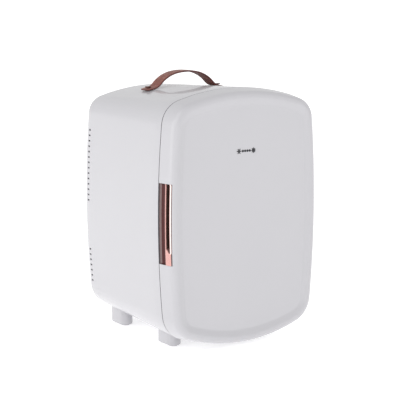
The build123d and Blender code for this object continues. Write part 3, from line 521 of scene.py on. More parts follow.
NODE_FINISH = {
    cover_satin: ["rear_cover"],
    liner_satin: ["front_frame", "inner_liner", "door_liner", "shelf", "board_standoffs"],
    fan_black: ["fan_frame", "fan_rotor"],
    fixture_black: ["ac_inlet", "dc_socket", "switch_bezel", "mode_switch", "board_capacitors"],
    bracket_white: ["hinge_bracket_upper", "hinge_bracket_lower"],
    pad_rubber: ["foot_pads"],
    gasket_grey: ["door_gasket"],
    magnet_grey: ["door_magnets"],
    module_white: ["peltier_module"],
    screw_steel: ["hinge_pin_upper", "hinge_pin_lower", "hinge_screws", "heatsink_screws", "fan_screws",
                  "foot_screws", "latch_strikers", "rear_cover_screws", "cold_plate_screws",
                  "door_liner_screws"],
    aluminium: ["cold_plate", "transfer_block", "hot_heatsink"],
    pin_brass: ["ac_inlet_pins", "dc_socket_pin"],
    rivet_brown: ["strap_rivets"],
    foam_finish(): ["body_insulation", "door_insulation"],
    board_finish(): ["power_board"],
    tape_finish(): ["board_transformer"],
    lamp_finish(): ["status_lamps"],
    clear_finish(): ["door_basket"],
    mark_ink: ["door_mark"],
    shell_gloss: ["outer_shell", "door_shell", "foot_front_left", "foot_front_right", "foot_back_left",
                  "foot_back_right"],
    rose_plating: ["grip_trim"],
    strap_face: ["carry_strap"],
}
for material, names in NODE_FINISH.items():
    for name in names:
        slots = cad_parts[name].data.materials
        slots.clear()
        slots.append(material)


# ---------------------------------------------------------------- cabinet shell
def fillet_ring(centre, radius, angle):
    """A point (inset, y) on a rounding; the angle runs from the side wall, 0, towards the end face, 90."""
    return centre[0] - radius * math.cos(angle), centre[1] + radius * math.sin(angle)


LIP_EDGE = 0.3


def back_rings():
    """The opening in the back and the ledge inside it, as half width, half height, corner radius and y."""
    wide, high, radius, edge = 62, 98, 14, 0.5
    ledge_wide, ledge_high, ledge_radius, ledge_edge = 56, 92, 8, 0.3
    ledge_depth, root = 2.2, 4
    wall_y = BACK - WALL
    ledge_y = wall_y - ledge_depth
    return [(wide + edge, high + edge, radius + edge, BACK), (wide, high, radius, BACK - edge),
            (wide, high, radius, wall_y),
            (ledge_wide + ledge_edge, ledge_high + ledge_edge, ledge_radius, wall_y),
            (ledge_wide, ledge_high, ledge_radius, wall_y - ledge_edge),
            (ledge_wide, ledge_high, ledge_radius, ledge_y),
            (wide + root, high + root, radius, ledge_y), (wide + root, high + root, radius, wall_y - SEAM)]


def cabinet_mesh():
    """The open-fronted box: its outside from the lip to the back, the opening, then its inside."""
    wall_inset = math.tan(BODY_DRAFT)
    centre_y = BACK - BACK_EDGE
    centre = ((centre_y - BODY_FRONT) * wall_inset + BACK_EDGE / math.cos(BODY_DRAFT), centre_y)
    outer = []
    for step in range(5):
        angle = math.pi / 2 * step / 4
        outer.append((LIP_EDGE - LIP_EDGE * math.sin(angle),
                      BODY_FRONT + LIP_EDGE - LIP_EDGE * math.cos(angle)))
    last_y = centre_y + BACK_EDGE * math.sin(BODY_DRAFT)
    for step in range(1, 10):
        y = BODY_FRONT + LIP_EDGE + (last_y - BODY_FRONT - LIP_EDGE) * step / 10
        outer.append(((y - BODY_FRONT) * wall_inset, y))
    inner = []
    for step in range(15):
        angle = BODY_DRAFT + (math.pi / 2 - BODY_DRAFT) * step / 14
        outer.append(fillet_ring(centre, BACK_EDGE, angle))
        inner.append(fillet_ring(centre, BACK_EDGE - WALL, angle))
    rings = [upright_ring(outline(inset), y) for inset, y in outer]
    for half_width, half_height, radius, y in back_rings():
        rings.append(upright_ring(rounded_box(half_width, half_height, radius), y))
    for inset, y in reversed(inner):
        rings.append(upright_ring(outline(inset), y - SEAM))
    rings.append(upright_ring(outline(WALL + LIP_EDGE * wall_inset), BODY_FRONT + LIP_EDGE))
    rings.append(upright_ring(outline(WALL - LIP_EDGE), BODY_FRONT))
    return rings_mesh("outer_shell_moulding", rings, closed=True)


def shape_tree(name, inputs):
    """A Geometry Nodes tree with named inputs; gives the tree, its input wires and their identifiers."""
    group = bpy.data.node_groups.new(name, "GeometryNodeTree")
    group.interface.new_socket("Geometry", in_out="INPUT", socket_type="NodeSocketGeometry")
    group.interface.new_socket("Geometry", in_out="OUTPUT", socket_type="NodeSocketGeometry")
    kinds = {"number": "NodeSocketFloat", "count": "NodeSocketInt", "place": "NodeSocketVector",
             "finish": "NodeSocketMaterial"}
    for label, kind in inputs.items():
        group.interface.new_socket(label, in_out="INPUT", socket_type=kinds[kind])
    tree = Tree(group)
    entry = group.nodes.new("NodeGroupInput")
    wires = {socket.name: Wire(tree, socket) for socket in entry.outputs if socket.name}
    tree.labels = {item.name: item.identifier for item in group.interface.items_tree
                   if item.in_out == "INPUT"}
    return tree, wires


def end_tree(tree, geometry, finish):
    """Realize Instances and Set Material, then the group's output."""
    real = tree.node("GeometryNodeRealizeInstances", None, {0: geometry})
    dressed = tree.node("GeometryNodeSetMaterial", None, {0: real, "Material": finish})
    exit_node = tree.group.nodes.new("NodeGroupOutput")
    tree.feed(exit_node.inputs[0], dressed)
    return tree


def grow(tree, mesh, sizes):
    """Runs a shape tree on a mesh and gives back one plain mesh."""
    work = bpy.data.objects.new("growing", mesh)
    modifier = work.modifiers.new("shape", "NODES")
    modifier.node_group = tree.group
    for label, value in sizes.items():
        modifier[tree.labels[label]] = value
    bpy.context.scene.collection.objects.link(work)
    result = settled(work)
    bpy.data.objects.remove(work)
    return result


def slot_row_tree():
    """Cuts a row of round-ended slots, one above another, right through both sides of a shell."""
    tree, wires = shape_tree("Vent_Slot_Row", {
        "Slot length": "number", "Slot height": "number", "Reach": "number", "Pitch": "place",
        "First slot": "place", "Slots": "count", "Finish": "finish"})
    flat = tree.node("GeometryNodeCurvePrimitiveQuadrilateral", None,
                     {"Width": wires["Slot height"], "Height": wires["Slot length"]})
    rounded = tree.node("GeometryNodeFilletCurve", {"mode": "POLY"},
                        {"Curve": flat, "Radius": wires["Slot height"] * 0.499, "Count": 6})
    floor = tree.node("ShaderNodeCombineXYZ", None, {"Z": wires["Reach"] * -1.0})
    roof = tree.node("ShaderNodeCombineXYZ", None, {"Z": wires["Reach"]})
    path = tree.node("GeometryNodeCurvePrimitiveLine", None, {"Start": floor, "End": roof})
    prism = tree.node("GeometryNodeCurveToMesh", None, {"Curve": path, "Profile Curve": rounded,
                                                        "Fill Caps": True})
    row = tree.node("GeometryNodeMeshLine", None, {"Count": wires["Slots"],
                                                   "Start Location": wires["First slot"],
                                                   "Offset": wires["Pitch"]})
    cutters = tree.node("GeometryNodeInstanceOnPoints", None,
                        {"Points": row, "Instance": prism, "Rotation": (0.0, math.pi / 2, 0.0)})
    solid = tree.node("GeometryNodeRealizeInstances", None, {0: cutters})
    cut = tree.node("GeometryNodeMeshBoolean", {"operation": "DIFFERENCE", "solver": "EXACT"},
                    {0: wires["Geometry"], 1: solid})
    return end_tree(tree, cut, wires["Finish"])


VENT_Y = 79.5
VENT_PITCH = 6.0
VENT_LENGTH, VENT_HEIGHT = 4.6, 2.0
VENT_REACH = 120.0                       # past the cabinet's sides
VENT_ROWS = ((3.7, 14), (-88.2, 7))      # the lowest slot's height above the middle, number of slots
hinge_low, hinge_high = box_mm("hinge_pin_upper")
HINGE_X = (hinge_low.x + hinge_high.x) / 2
HINGE_Y = (hinge_low.y + hinge_high.y) / 2
HINGE_RISE = (hinge_low.z + hinge_high.z) / 2 - MIDDLE_Z
HINGE_HEIGHTS = [MIDDLE_Z - HINGE_RISE, MIDDLE_Z + HINGE_RISE]
NOTCH_X, NOTCH_DEPTH, NOTCH_HALF = (88.8, 101), 5.5, 5.0

cabinet = cabinet_mesh()
notch_y = (BODY_FRONT - 1, BODY_FRONT + NOTCH_DEPTH)
cabinet = combine(cabinet, [("DIFFERENCE", upright_block(NOTCH_X, notch_y, height, NOTCH_HALF))
                            for height in HINGE_HEIGHTS])
vent_tree = slot_row_tree()
for first, count in VENT_ROWS:
    cabinet = grow(vent_tree, cabinet, {
        "Slot length": VENT_LENGTH * MM, "Slot height": VENT_HEIGHT * MM, "Reach": VENT_REACH * MM,
        "Pitch": (0.0, 0.0, VENT_PITCH * MM), "First slot": (0.0, VENT_Y * MM, (MIDDLE_Z + first) * MM),
        "Slots": count, "Finish": shell_gloss})
put("outer_shell_moulding", cabinet, "cabinet", [shell_gloss, gap_shade_grey], "outer_shell")
# the front of the lip, where the gap behind the door is seen, takes a dark grey as painted shade for the gap
for face in cabinet.polygons:
    if face.normal.y < -0.9 and face.center.y / MM < BODY_FRONT + 0.2:
        face.material_index = 1


# ---------------------------------------------------------------- door shell
REAR_ROUNDING = 0.25
SIDE_DEPTHS = (1.2, 2.0, 3.0, 4.5, 7.0, 10.0)     # in front of the rear edge, closer together near it
STRAIGHT_SHARE = 0.35                             # of the recess's slope; the rest eases in and out


def front_profile():
    """The door's outside as (inset, y), from the rear edge to just inside the recessed panel."""
    slope = math.tan(DOOR_DRAFT)
    centre_y = FRONT + DOOR_EDGE
    centre_inset = (DOOR_REAR - centre_y) * slope + DOOR_EDGE / math.cos(DOOR_DRAFT)
    rim = REAR_ROUNDING
    points = [(rim, DOOR_REAR), (rim * 0.3, DOOR_REAR - rim * 0.3), (rim * slope, DOOR_REAR - rim)]
    points += [(depth * slope, DOOR_REAR - depth) for depth in SIDE_DEPTHS]
    for step in range(13):
        angle = DOOR_DRAFT + (math.pi / 2 - DOOR_DRAFT) * step / 12
        points.append((centre_inset - DOOR_EDGE * math.cos(angle), centre_y - DOOR_EDGE * math.sin(angle)))
    for step in range(15):
        share = step / 14
        fall = STRAIGHT_SHARE * share + (1 - STRAIGHT_SHARE) * smooth(0.0, 1.0, share)
        inset = DISH_EDGE - DISH_BLEND + (DISH_SLOPE + 2 * DISH_BLEND) * share
        points.append((inset, FRONT + DISH_DEPTH * fall))
    points.append((DISH_EDGE + DISH_SLOPE + 4 * DISH_BLEND, FRONT + DISH_DEPTH))
    return points


SWING = 5.3                # radius that the door's rear right edge keeps within, about the hinge pins


def clear_of_swing(point):
    """Draws a point of the door in where it would strike the cabinet as the door turns."""
    x, y, z = point
    if y > HINGE_Y and x > HINGE_X:
        x = min(x, HINGE_X + math.sqrt(SWING ** 2 - (y - HINGE_Y) ** 2))
    return x, y, z


def door_rings(profile):
    return [[clear_of_swing(point) for point in upright_ring(outline(inset), y)] for inset, y in profile]


# solid blocks inside the door and the pockets cut in them: between which x, and half height
GRIP_BLOCK_X, GRIP_BLOCK_HALF = (-110, -85), 44
GRIP_POCKET_X, GRIP_POCKET_HALF = (-107, -87), 41.5
GRIP_COVER = 1.8           # left in front of the grip's pocket
HINGE_BLOCK_X, HINGE_BLOCK_HALF = (84.5, 105), 17
HINGE_BLOCK_FRONT = 6.5    # in front of the hinge pins
HINGE_POCKET_X, HINGE_POCKET_HALF = (87.8, 101.8), 5.4
HINGE_POCKET_FRONT, HINGE_POCKET_REAR = 4.7, 6.7
BLOCK_SHRINK = 1.0         # how far the blocks stay inside the door's surface


def door_mesh():
    """The door's moulding: a thin cup with solid blocks for the grip and the hinges, and their pockets."""
    profile = front_profile()
    core_y = FRONT + DISH_DEPTH + WALL
    core_inset = WALL + (DOOR_REAR - core_y) * math.tan(DOOR_DRAFT)
    inside = [(WALL - 0.1, DOOR_REAR), (WALL + 0.1, DOOR_REAR - 0.3), (core_inset - 0.1, core_y + 0.3),
              (core_inset + 0.3, core_y)]
    cup = rings_mesh("door_shell_moulding", list(reversed(door_rings(profile))) + door_rings(inside), False)
    slim = [(inset + BLOCK_SHRINK, max(y, FRONT + BLOCK_SHRINK)) for inset, y in profile[3:]]
    solid = rings_mesh("slim", door_rings([(slim[0][0], DOOR_REAR - WALL)] + slim[2:]), False)
    grip_height = MIDDLE_Z + GRIP_MIDDLE
    blocks = [upright_block(GRIP_BLOCK_X, (FRONT - 5, DOOR_REAR - WALL), grip_height, GRIP_BLOCK_HALF)]
    pockets = [upright_block(GRIP_POCKET_X, (FRONT + GRIP_COVER, DOOR_REAR + 3), grip_height,
                             GRIP_POCKET_HALF)]
    for height in HINGE_HEIGHTS:
        blocks.append(upright_block(HINGE_BLOCK_X, (HINGE_Y - HINGE_BLOCK_FRONT, DOOR_REAR - WALL),
                                    height, HINGE_BLOCK_HALF))
        pocket_y = (HINGE_Y - HINGE_POCKET_FRONT, HINGE_Y + HINGE_POCKET_REAR)
        pockets.append(upright_block(HINGE_POCKET_X, pocket_y, height, HINGE_POCKET_HALF))
    tools = [("UNION", combine(part, [("INTERSECT", solid.copy())])) for part in blocks]
    return combine(cup, tools + [("DIFFERENCE", pocket) for pocket in pockets])


door = door_mesh()
put("door_shell_moulding", door, "door", [shell_gloss, panel_lit_gloss], "door_shell", sharp=30)
# the flat of the recessed panel takes the lighter copy of the plastic, painted light
for face in door.polygons:
    if face.normal.y < -0.999 and face.center.y / MM > FRONT + DISH_DEPTH - 0.05:
        face.material_index = 1


# ---------------------------------------------------------------- grip insert
GRIP_HALF = 41.4
GRIP_BACK = -0.6           # the insert laps a little over the gap behind the door
GRIP_FORWARD = 17.9
GRIP_FLOOR = -86.95


def side_surface(forward, height):
    """How far out the door's left side is at a distance forward of its rear edge, and its y."""
    profile = front_profile()
    y = DOOR_REAR - forward
    for (inset0, y0), (inset1, y1) in zip(profile, profile[1:]):
        if y1 <= y <= y0 and y0 > y1:
            inset = inset0 + (inset1 - inset0) * (y0 - y) / (y0 - y1)
            break
    else:
        inset = profile[0][0]
    side = sagitta_radius((TOP_CORNER + BOTTOM_CORNER) / 2, HALF_WIDTH - CORNER_X)
    out = math.sqrt((side - inset) ** 2 - (height - (TOP_CORNER - BOTTOM_CORNER) / 2) ** 2)
    return -(out + HALF_WIDTH - side)


RIDGE = (9.6, 10.2)         # in front of the door's rear edge: the ridge between the hollow and the slot
HOLLOW = (3.4, 9.4)
SLOT = (10.5, 15.3)
LIP = (15.6, 16.9)
SLOT_POINT = -29.2         # where the slot's slanting end comes to a point
SLOT_SLANT = 5.0
# the whole insert's depth below the door's side, then what is added behind the ridge, at the hollow's
# middle, in the slot, at the foot of the rounded lip and along the front rim
GRIP_SKIN, LAND_DEPTH, HOLLOW_DEPTH, SLOT_DEPTH, LIP_DEPTH, RIM_DEPTH = 0.12, 1.0, 0.9, 4.9, 0.7, 0.5
GRIP_ACROSS, GRIP_UP = 90, 150           # steps of the insert's grid


def slot_left(rise):
    """The slot's rear edge, which slants forward at the bottom until the slot closes."""
    open_share = min(1.0, max(0.0, (rise - SLOT_POINT) / SLOT_SLANT))
    return SLOT[1] - (SLOT[1] - SLOT[0]) * open_share


def grip_depth(forward, height):
    """How deep the insert lies below the door's side: flat land, hollow, ridge, finger slot, lip and rim."""
    rise = height - GRIP_MIDDLE
    end = smooth(GRIP_HALF - 0.1, GRIP_HALF - 1.4, abs(rise))
    behind_ridge = 1 - smooth(RIDGE[0] - 0.5, RIDGE[0], forward)
    across = min(1.0, max(0.0, (forward - HOLLOW[0]) / (HOLLOW[1] - HOLLOW[0])))
    depth = LAND_DEPTH * behind_ridge + HOLLOW_DEPTH * math.sin(math.pi * across) ** 0.8
    left = slot_left(rise)
    inside = smooth(left - 0.1, left + 0.35, forward) * (1 - smooth(SLOT[1] - 0.3, SLOT[1] + 0.2, forward))
    if left < SLOT[1] - 0.3:
        depth += SLOT_DEPTH * inside * smooth(GRIP_HALF - 0.2, GRIP_HALF - 0.8, rise)
    lip = math.sin(math.pi * min(1.0, max(0.0, (forward - LIP[0]) / (LIP[1] - LIP[0]))))
    depth += LIP_DEPTH * (1 - lip) * smooth(SLOT[1], LIP[0], forward) * (rise > SLOT_POINT)
    depth += RIM_DEPTH * smooth(LIP[1], GRIP_FORWARD, forward)
    return GRIP_SKIN + depth * end


def grip_painted_band(forward, rise):
    """Which of the plated tones, in the order of their list, a place on the insert has: plain plating, or
    painted reflections on the land, hollow and rim, painted shade in the finger slot and a painted highlight
    on the lip.
    """
    if forward > LIP[1]:
        return 5
    if forward < HOLLOW[0]:
        return 1
    if forward < HOLLOW[1]:
        return 2
    if slot_left(rise) < forward < SLOT[1]:
        return 3
    if forward > LIP[0] and rise > SLOT_POINT:
        return 4
    return 0


def grip_mesh():
    """The insert's modelled face on a grid, with walls down to the pocket's floor."""
    forwards = [GRIP_BACK + (GRIP_FORWARD - GRIP_BACK) * i / GRIP_ACROSS for i in range(GRIP_ACROSS + 1)]
    heights = [GRIP_MIDDLE - GRIP_HALF + 2 * GRIP_HALF * j / GRIP_UP for j in range(GRIP_UP + 1)]
    points, faces = [], []
    for height in heights:
        for forward in forwards:
            x = side_surface(forward, height) + grip_depth(forward, height)
            points.append((x, DOOR_REAR - forward, height + MIDDLE_Z))
    wide = len(forwards)
    tall = len(heights)
    for j in range(tall - 1):
        for i in range(wide - 1):
            a = j * wide + i
            faces.append((a, a + 1, a + 1 + wide, a + wide))
    border = (list(range(wide)) + [j * wide + wide - 1 for j in range(1, tall)]
              + [(tall - 1) * wide + i for i in range(wide - 2, -1, -1)]
              + [j * wide for j in range(tall - 2, 0, -1)])
    first = len(points)
    for index in border:
        x, y, z = points[index]
        points.append((GRIP_FLOOR, y, z))
    count = len(border)
    for k in range(count):
        n = (k + 1) % count
        faces.append((border[k], border[n], first + n, first + k))
    faces.append(tuple(range(first, first + count)))
    return mesh_from("grip_trim_plated", points, faces)


grip = grip_mesh()
put("grip_trim_plated", grip, "door", rose_painted_bands, "grip_trim", sharp=50)
# each face of the insert takes its plated tone, with the painted reflections, shade and highlight
for face in grip.polygons:
    if len(face.vertices) == 4:
        centre = face.center / MM
        face.material_index = grip_painted_band(DOOR_REAR - centre.y, centre.z - MIDDLE_Z - GRIP_MIDDLE)

# ---------------------------------------------------------------- door mark
mark_low, mark_high = box_mm("door_mark")
MARK_HALF = (mark_high.z - mark_low.z) / 2
SNOWFLAKE = (6, 1.1, 12)   # arms, radius between the arms, half an arm's width in degrees
SUN = (8, 1.8, 8)
DOTS, DOT_RADIUS, DOT_PITCH = 4, 1.3, 2.9


def mark_mesh():
    """A snowflake, four dots and a sun, printed heavily enough to read from across a room."""
    middle = (mark_low + mark_high) / 2
    reach = (mark_high.x - mark_low.x) / 2 - MARK_HALF
    points, faces = [], []

    def stamp(flat):
        """One printed shape, raised a little, given by its corners."""
        first, count = len(points), len(flat)
        for y in (mark_high.y, mark_low.y):
            points.extend((middle.x + x, y, middle.z + z) for x, z in flat)
        faces.append(tuple(range(first, first + count)))
        faces.append(tuple(range(first + count, first + 2 * count)))
        for i in range(count):
            j = (i + 1) % count
            faces.append((first + i, first + j, first + count + j, first + count + i))

    def star(centre, arms, inner, width):
        """A star as high as the mark; width is half an arm's, in degrees, at its end."""
        flat = []
        for arm in range(arms):
            middle_turn = 360 * arm / arms
            for turn, radius in ((-width * 2, inner), (-width, MARK_HALF), (width, MARK_HALF),
                                 (width * 2, inner)):
                angle = math.radians(middle_turn + turn)
                flat.append((centre + radius * math.cos(angle), radius * math.sin(angle)))
        stamp(flat)

    star(-reach, *SNOWFLAKE)
    star(reach, *SUN)
    for dot in range(DOTS):
        centre = (dot - (DOTS - 1) / 2) * DOT_PITCH
        turns = [math.pi * step / 12 for step in range(24)]
        stamp([(centre + DOT_RADIUS * math.cos(turn), DOT_RADIUS * math.sin(turn)) for turn in turns])
    return mesh_from("door_mark_print", points, faces)


put("door_mark_print", mark_mesh(), "door", [mark_ink], "door_mark", sharp=30)

# ---------------------------------------------------------------- screws
def islands(node):
    """The boxes, in millimetres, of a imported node's separate bodies."""
    made = bmesh.new()
    made.from_mesh(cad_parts[node].data)
    bmesh.ops.remove_doubles(made, verts=made.verts, dist=0.000001)
    left = set(made.verts)
    boxes = []
    while left:
        todo = [left.pop()]
        found = []
        while todo:
            corner = todo.pop()
            found.append(corner.co / MM)
            for edge in corner.link_edges:
                other = edge.other_vert(corner)
                if other in left:
                    left.remove(other)
                    todo.append(other)
        boxes.append((Vector(map(min, *found)), Vector(map(max, *found))))
    made.free()
    return sorted(boxes, key=lambda box: tuple(round(value, 2) for value in box[0]))


def screw_tree():
    """Pan-head screws with a cross recess, one on every point, with heads along +Z before the turn."""
    crown_share, slot_length, slot_width = 0.72, 1.1, 0.26        # of the head's radius
    tree, wires = shape_tree("Cross_Head_Screws", {
        "Head radius": "number", "Head height": "number", "Shank radius": "number",
        "Shank length": "number", "Turn": "place", "Finish": "finish"})
    radius, height = wires["Head radius"], wires["Head height"]

    def cone(bottom, top, depth, start):
        shape = tree.node("GeometryNodeMeshCone", None, {"Vertices": 28, "Radius Bottom": bottom,
                                                         "Radius Top": top, "Depth": depth})
        place = tree.node("ShaderNodeCombineXYZ", None, {"Z": start})
        return tree.node("GeometryNodeTransform", None, {"Geometry": shape, "Translation": place})

    rim = cone(radius, radius, height * 0.5, 0.0)
    crown = cone(radius, radius * crown_share, height * 0.55, height * 0.45)
    shank = cone(wires["Shank radius"], wires["Shank radius"], wires["Shank length"] + height * 0.2,
                 wires["Shank length"] * -1.0)
    solid = tree.node("GeometryNodeMeshBoolean", {"operation": "UNION", "solver": "EXACT"}, {1: rim})
    tree.feed(solid.socket.node.inputs[1], crown)
    tree.feed(solid.socket.node.inputs[1], shank)
    for across, along in ((slot_length, slot_width), (slot_width, slot_length)):
        size = tree.node("ShaderNodeCombineXYZ", None,
                         {"X": radius * across, "Y": radius * along, "Z": height})
        arm = tree.node("GeometryNodeMeshCube", None, {"Size": size})
        place = tree.node("ShaderNodeCombineXYZ", None, {"Z": height * 0.95})
        arm = tree.node("GeometryNodeTransform", None, {"Geometry": arm, "Translation": place})
        solid = tree.node("GeometryNodeMeshBoolean", {"operation": "DIFFERENCE", "solver": "EXACT"},
                          {0: solid, 1: arm})
    copies = tree.node("GeometryNodeInstanceOnPoints", None,
                       {"Points": wires["Geometry"], "Instance": solid, "Rotation": wires["Turn"]})
    return end_tree(tree, copies, wires["Finish"])


SHANK_RADIUS = 1.5
screws_tree = screw_tree()
# node, whether its heads face the back (1) or the front (-1), head height
for node, facing, head in (("rear_cover_screws", 1, 1.4), ("fan_screws", 1, 1.5),
                           ("heatsink_screws", 1, 2.0), ("cold_plate_screws", -1, 1.6)):
    boxes = islands(node)
    low, high = boxes[0]
    places = [((a.x + b.x) / 2, b.y - head if facing > 0 else a.y + head, (a.z + b.z) / 2) for a, b in boxes]
    points = bpy.data.meshes.new("places")
    points.from_pydata([Vector(place) * MM for place in places], [], [])
    heads = grow(screws_tree, points, {
        "Head radius": (high.x - low.x) / 2 * MM, "Head height": head * MM,
        "Shank radius": SHANK_RADIUS * MM, "Shank length": (high.y - low.y - head) * MM,
        "Turn": (-facing * math.pi / 2, 0.0, 0.0), "Finish": screw_steel})
    put(node + "_cross", heads, "cabinet", [screw_steel], node, sharp=30)

# ---------------------------------------------------------------- feet
LOWER_POINTS = sorted((x, z, nz) for x, z, nx, nz in OUTLINE if nz < -0.05)
FOOT_EDGE = 1.0            # rounding of the lower edge
SOLE_INSET = 1.5           # flat rim of the sole, inside the rounding
FOOT_SINK = 0.6            # how far the post runs into the underside


def belly_z(x, y):
    """Height of the cabinet's underside at x and y."""
    inset = max(0.0, y - BODY_FRONT) * math.tan(BODY_DRAFT)
    for (x0, z0, n0), (x1, z1, n1) in zip(LOWER_POINTS, LOWER_POINTS[1:]):
        if x0 <= x <= x1:
            share = (x - x0) / (x1 - x0)
            return MIDDLE_Z + z0 + (z1 - z0) * share + inset / abs(n0 + (n1 - n0) * share)
    raise ValueError("outside the underside")


def foot_mesh(name, low, high):
    """A moulded post with a rounded lower edge, running up into the cabinet's underside."""
    cx, cy = (low.x + high.x) / 2, (low.y + high.y) / 2
    edge, steps = FOOT_EDGE, 14
    half_width = (high.x - low.x) / 2
    straight = (high.y - low.y) / 2 - half_width

    def stadium(inset, z=None):
        """A ring with two round ends at a height, or along the underside when none is given."""
        ring = []
        radius = half_width - inset
        for side in (1, -1):
            for step in range(steps + 1):
                angle = (0 if side > 0 else math.pi) + math.pi * step / steps
                x = cx + radius * math.cos(angle)
                y = cy + side * straight + radius * math.sin(angle)
                ring.append((x, y, belly_z(x, y) + FOOT_SINK if z is None else z))
        return ring

    rings = [stadium(edge + SOLE_INSET, low.z)]
    for step in range(7):
        angle = math.pi / 2 * step / 6
        rings.append(stadium(edge - edge * math.sin(angle), low.z + edge - edge * math.cos(angle)))
    rings.append(stadium(0.0))
    return rings_mesh(name, rings, closed=False)


for name in ("foot_front_left", "foot_front_right", "foot_back_left", "foot_back_right"):
    low, high = box_mm(name)
    post = foot_mesh(name + "_post", low, high)
    put(name + "_post", post, "cabinet", [shell_gloss], name)

# ---------------------------------------------------------------- carry strap
strap_low, strap_high = box_mm("carry_strap")
STRAP_Y = (strap_low.y + strap_high.y) / 2
STRAP_HALF = (strap_high.x - strap_low.x) / 2
STRAP_HALF_WIDTH = 9.0
STRAP_THICKNESS = 1.8
STRAP_CORNER = 3.2         # rounding of the strap's ends, seen from above
STRAP_CROWN = 0.12         # how much lower the outer face is at its edges
STRAP_TRIM = 0.05          # cut off each side
TAPER_RUN, TAPER_SHARE = 6.0, 0.35        # the ends are skived thinner over this run, by this share
ROOF_RADIUS = sagitta_radius(CORNER_X, HALF_HEIGHT - TOP_CORNER)
# distance from the middle, height of the outer face above the roof there
STRAP_LINE = [(0.0, 16.1), (7.0, 15.85), (14.3, 15.0), (19.6, 13.75), (24.3, 12.05), (28.4, 10.0),
              (32.0, 7.6), (35.2, 4.9), (38.0, 3.1), (41.0, 2.35), (45.0, 2.2), (STRAP_HALF, 2.0)]
CURVE_STEPS, STRAP_STEPS = 12, 120


def roof_z(x, y):
    """Height of the cabinet's top at x and y."""
    drop = ROOF_RADIUS - math.sqrt(ROOF_RADIUS ** 2 - x ** 2)
    return MIDDLE_Z + HALF_HEIGHT - drop - (y - BODY_FRONT) * math.tan(BODY_DRAFT)


def strap_path():
    """Points (x, height) along the strap's outer face, evenly spaced, from the left end to the right."""
    knots = [(-x, h) for x, h in reversed(STRAP_LINE)] + STRAP_LINE[1:]
    knots = [Vector((x, roof_z(x, STRAP_Y - STRAP_HALF_WIDTH) + h)) for x, h in knots]
    fine = []
    for i in range(len(knots) - 1):
        p0 = knots[i - 1] if i else knots[0] * 2 - knots[1]
        p1, p2 = knots[i], knots[i + 1]
        p3 = knots[i + 2] if i + 2 < len(knots) else knots[-1] * 2 - knots[-2]
        for step in range(CURVE_STEPS):
            t = step / CURVE_STEPS
            fine.append(0.5 * ((2 * p1) + (p2 - p0) * t + (2 * p0 - 5 * p1 + 4 * p2 - p3) * t * t
                               + (3 * p1 - p0 - 3 * p2 + p3) * t ** 3))
    fine.append(knots[-1])
    lengths = [0.0]
    for a, b in zip(fine, fine[1:]):
        lengths.append(lengths[-1] + (b - a).length)
    even = []
    spot = 0
    for step in range(STRAP_STEPS + 1):
        want = lengths[-1] * step / STRAP_STEPS
        while spot < len(lengths) - 2 and lengths[spot + 1] < want:
            spot += 1
        share = (want - lengths[spot]) / (lengths[spot + 1] - lengths[spot])
        even.append(fine[spot].lerp(fine[spot + 1], share))
    return even, lengths[-1]


def strap_section(across, thick):
    """The strap's section as (sideways, down): crowned outer face, round edge, inner face, round edge."""
    radius = thick / 2
    flat = across - radius
    section = [(flat * step / 6, STRAP_CROWN * (step / 6) ** 2) for step in range(-6, 7)]
    edge = []
    for step in range(1, 6):
        angle = math.pi / 2 - math.pi * step / 6
        edge.append((flat + radius * math.cos(angle), STRAP_CROWN + radius - radius * math.sin(angle)))
    inner = [(flat * step / 6, thick) for step in range(6, -7, -1)]
    return section + edge + inner + [(-side, down) for side, down in reversed(edge)]


def strap_mesh():
    """The strap swept along its path, with round corners and skived ends."""
    path, total = strap_path()
    rings = []
    for index, point in enumerate(path):
        ahead = path[min(index + 1, len(path) - 1)] - path[max(index - 1, 0)]
        ahead.normalize()
        out = Vector((-ahead.y, ahead.x))
        run = total * index / (len(path) - 1)
        from_end = min(run, total - run)
        short = max(0.0, STRAP_CORNER - from_end)
        narrow = STRAP_CORNER - math.sqrt(STRAP_CORNER ** 2 - short ** 2)
        thick = STRAP_THICKNESS * (1 - TAPER_SHARE * smooth(TAPER_RUN, 0.0, from_end))
        section = strap_section(STRAP_HALF_WIDTH - STRAP_TRIM - narrow, thick)
        rings.append([(point.x - out.x * down, STRAP_Y + side, point.y - out.y * down)
                      for side, down in section])
    return rings_mesh("carry_strap_leather", rings, closed=False)


strap = strap_mesh()
put("carry_strap_leather", strap, "cabinet", [strap_face, strap_edge], "carry_strap",
    sharp=60)
# the painted edges and the two ends
for face in strap.polygons:
    if abs(face.normal.y) > 0.35 or len(face.vertices) > 4:
        face.material_index = 1

# ---------------------------------------------------------------- floor, light and camera
FLOOR_HALF = 90.0          # metres
FLOOR_GLOW = 0.5
SKY_STRENGTH = 0.82


def flat_sheet(name, half):
    """A square sheet at floor level."""
    mesh = bpy.data.meshes.new(name)
    corners = [(-half, -half, 0.0), (half, -half, 0.0), (half, half, 0.0), (-half, half, 0.0)]
    mesh.from_pydata(corners, [], [(0, 1, 2, 3)])
    sheet = bpy.data.objects.new(name, mesh)
    bpy.context.scene.collection.objects.link(sheet)
    return sheet


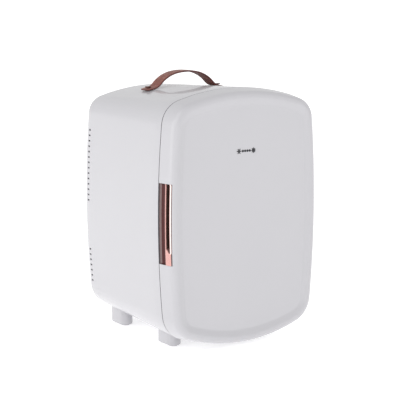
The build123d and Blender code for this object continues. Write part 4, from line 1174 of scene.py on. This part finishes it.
def floor_finish():
    """White board, lit a little from behind so that it stays pale round the feet."""
    finish = Finish("Floor_White", roughness=0.85)
    finish.shader.inputs["Emission Color"].default_value = grey(1.0)
    finish.shader.inputs["Emission Strength"].default_value = FLOOR_GLOW
    return finish.give(base_color=finish.mix(finish.noise(3.0), grey(0.92), grey(0.94)))


floor = flat_sheet("studio_floor", FLOOR_HALF)
floor.data.materials.append(floor_finish())
floor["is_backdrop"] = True

world = bpy.data.worlds.new("studio")
bpy.context.scene.world = world
world.use_nodes = True
sky = world.node_tree.nodes["Background"].inputs
sky["Color"].default_value = grey(1.0)
sky["Strength"].default_value = SKY_STRENGTH
bpy.context.scene.view_settings.view_transform = "Standard"


def soft_light(name, place, target, size, power):
    """A rectangular lamp, sizes in metres and power in watts, turned towards its target."""
    lamp = bpy.data.lights.new(name, "AREA")
    lamp.shape = "RECTANGLE"
    lamp.size, lamp.size_y = size
    lamp.energy = power
    light = bpy.data.objects.new(name, lamp)
    bpy.context.scene.collection.objects.link(light)
    light.location = place
    light.rotation_euler = (Vector(target) - Vector(place)).to_track_quat("-Z", "Y").to_euler()


soft_light("key_window", (-1.24, -1.0, 1.34), (0.0, 0.0, 0.13), (1.6, 1.6), 6.5)
soft_light("side_window", (-2.0, 0.1, 0.4), (0.0, 0.0, 0.1), (2.0, 1.4), 9.0)
soft_light("front_window", (1.0, -1.6, 1.0), (0.0, 0.0, 0.13), (1.6, 0.8), 1.5)

TARGET = Vector((0.00476, -0.00314, 0.1443))
BACKWARD = Vector((-0.54288, -0.82389, 0.16274)).normalized()
DISTANCE = 1.3743
eye = bpy.data.cameras.new("eye")
eye.lens = 112.4475
eye.sensor_width = 36.0
camera = bpy.data.objects.new("eye", eye)
bpy.context.scene.collection.objects.link(camera)
camera.location = TARGET + BACKWARD * DISTANCE
camera.rotation_euler = (-BACKWARD).to_track_quat("-Z", "Y").to_euler()
bpy.context.scene.camera = camera

low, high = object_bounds()
{"cad": [list(cad_low), list(cad_high)], "visual": [list(low), list(high)]}
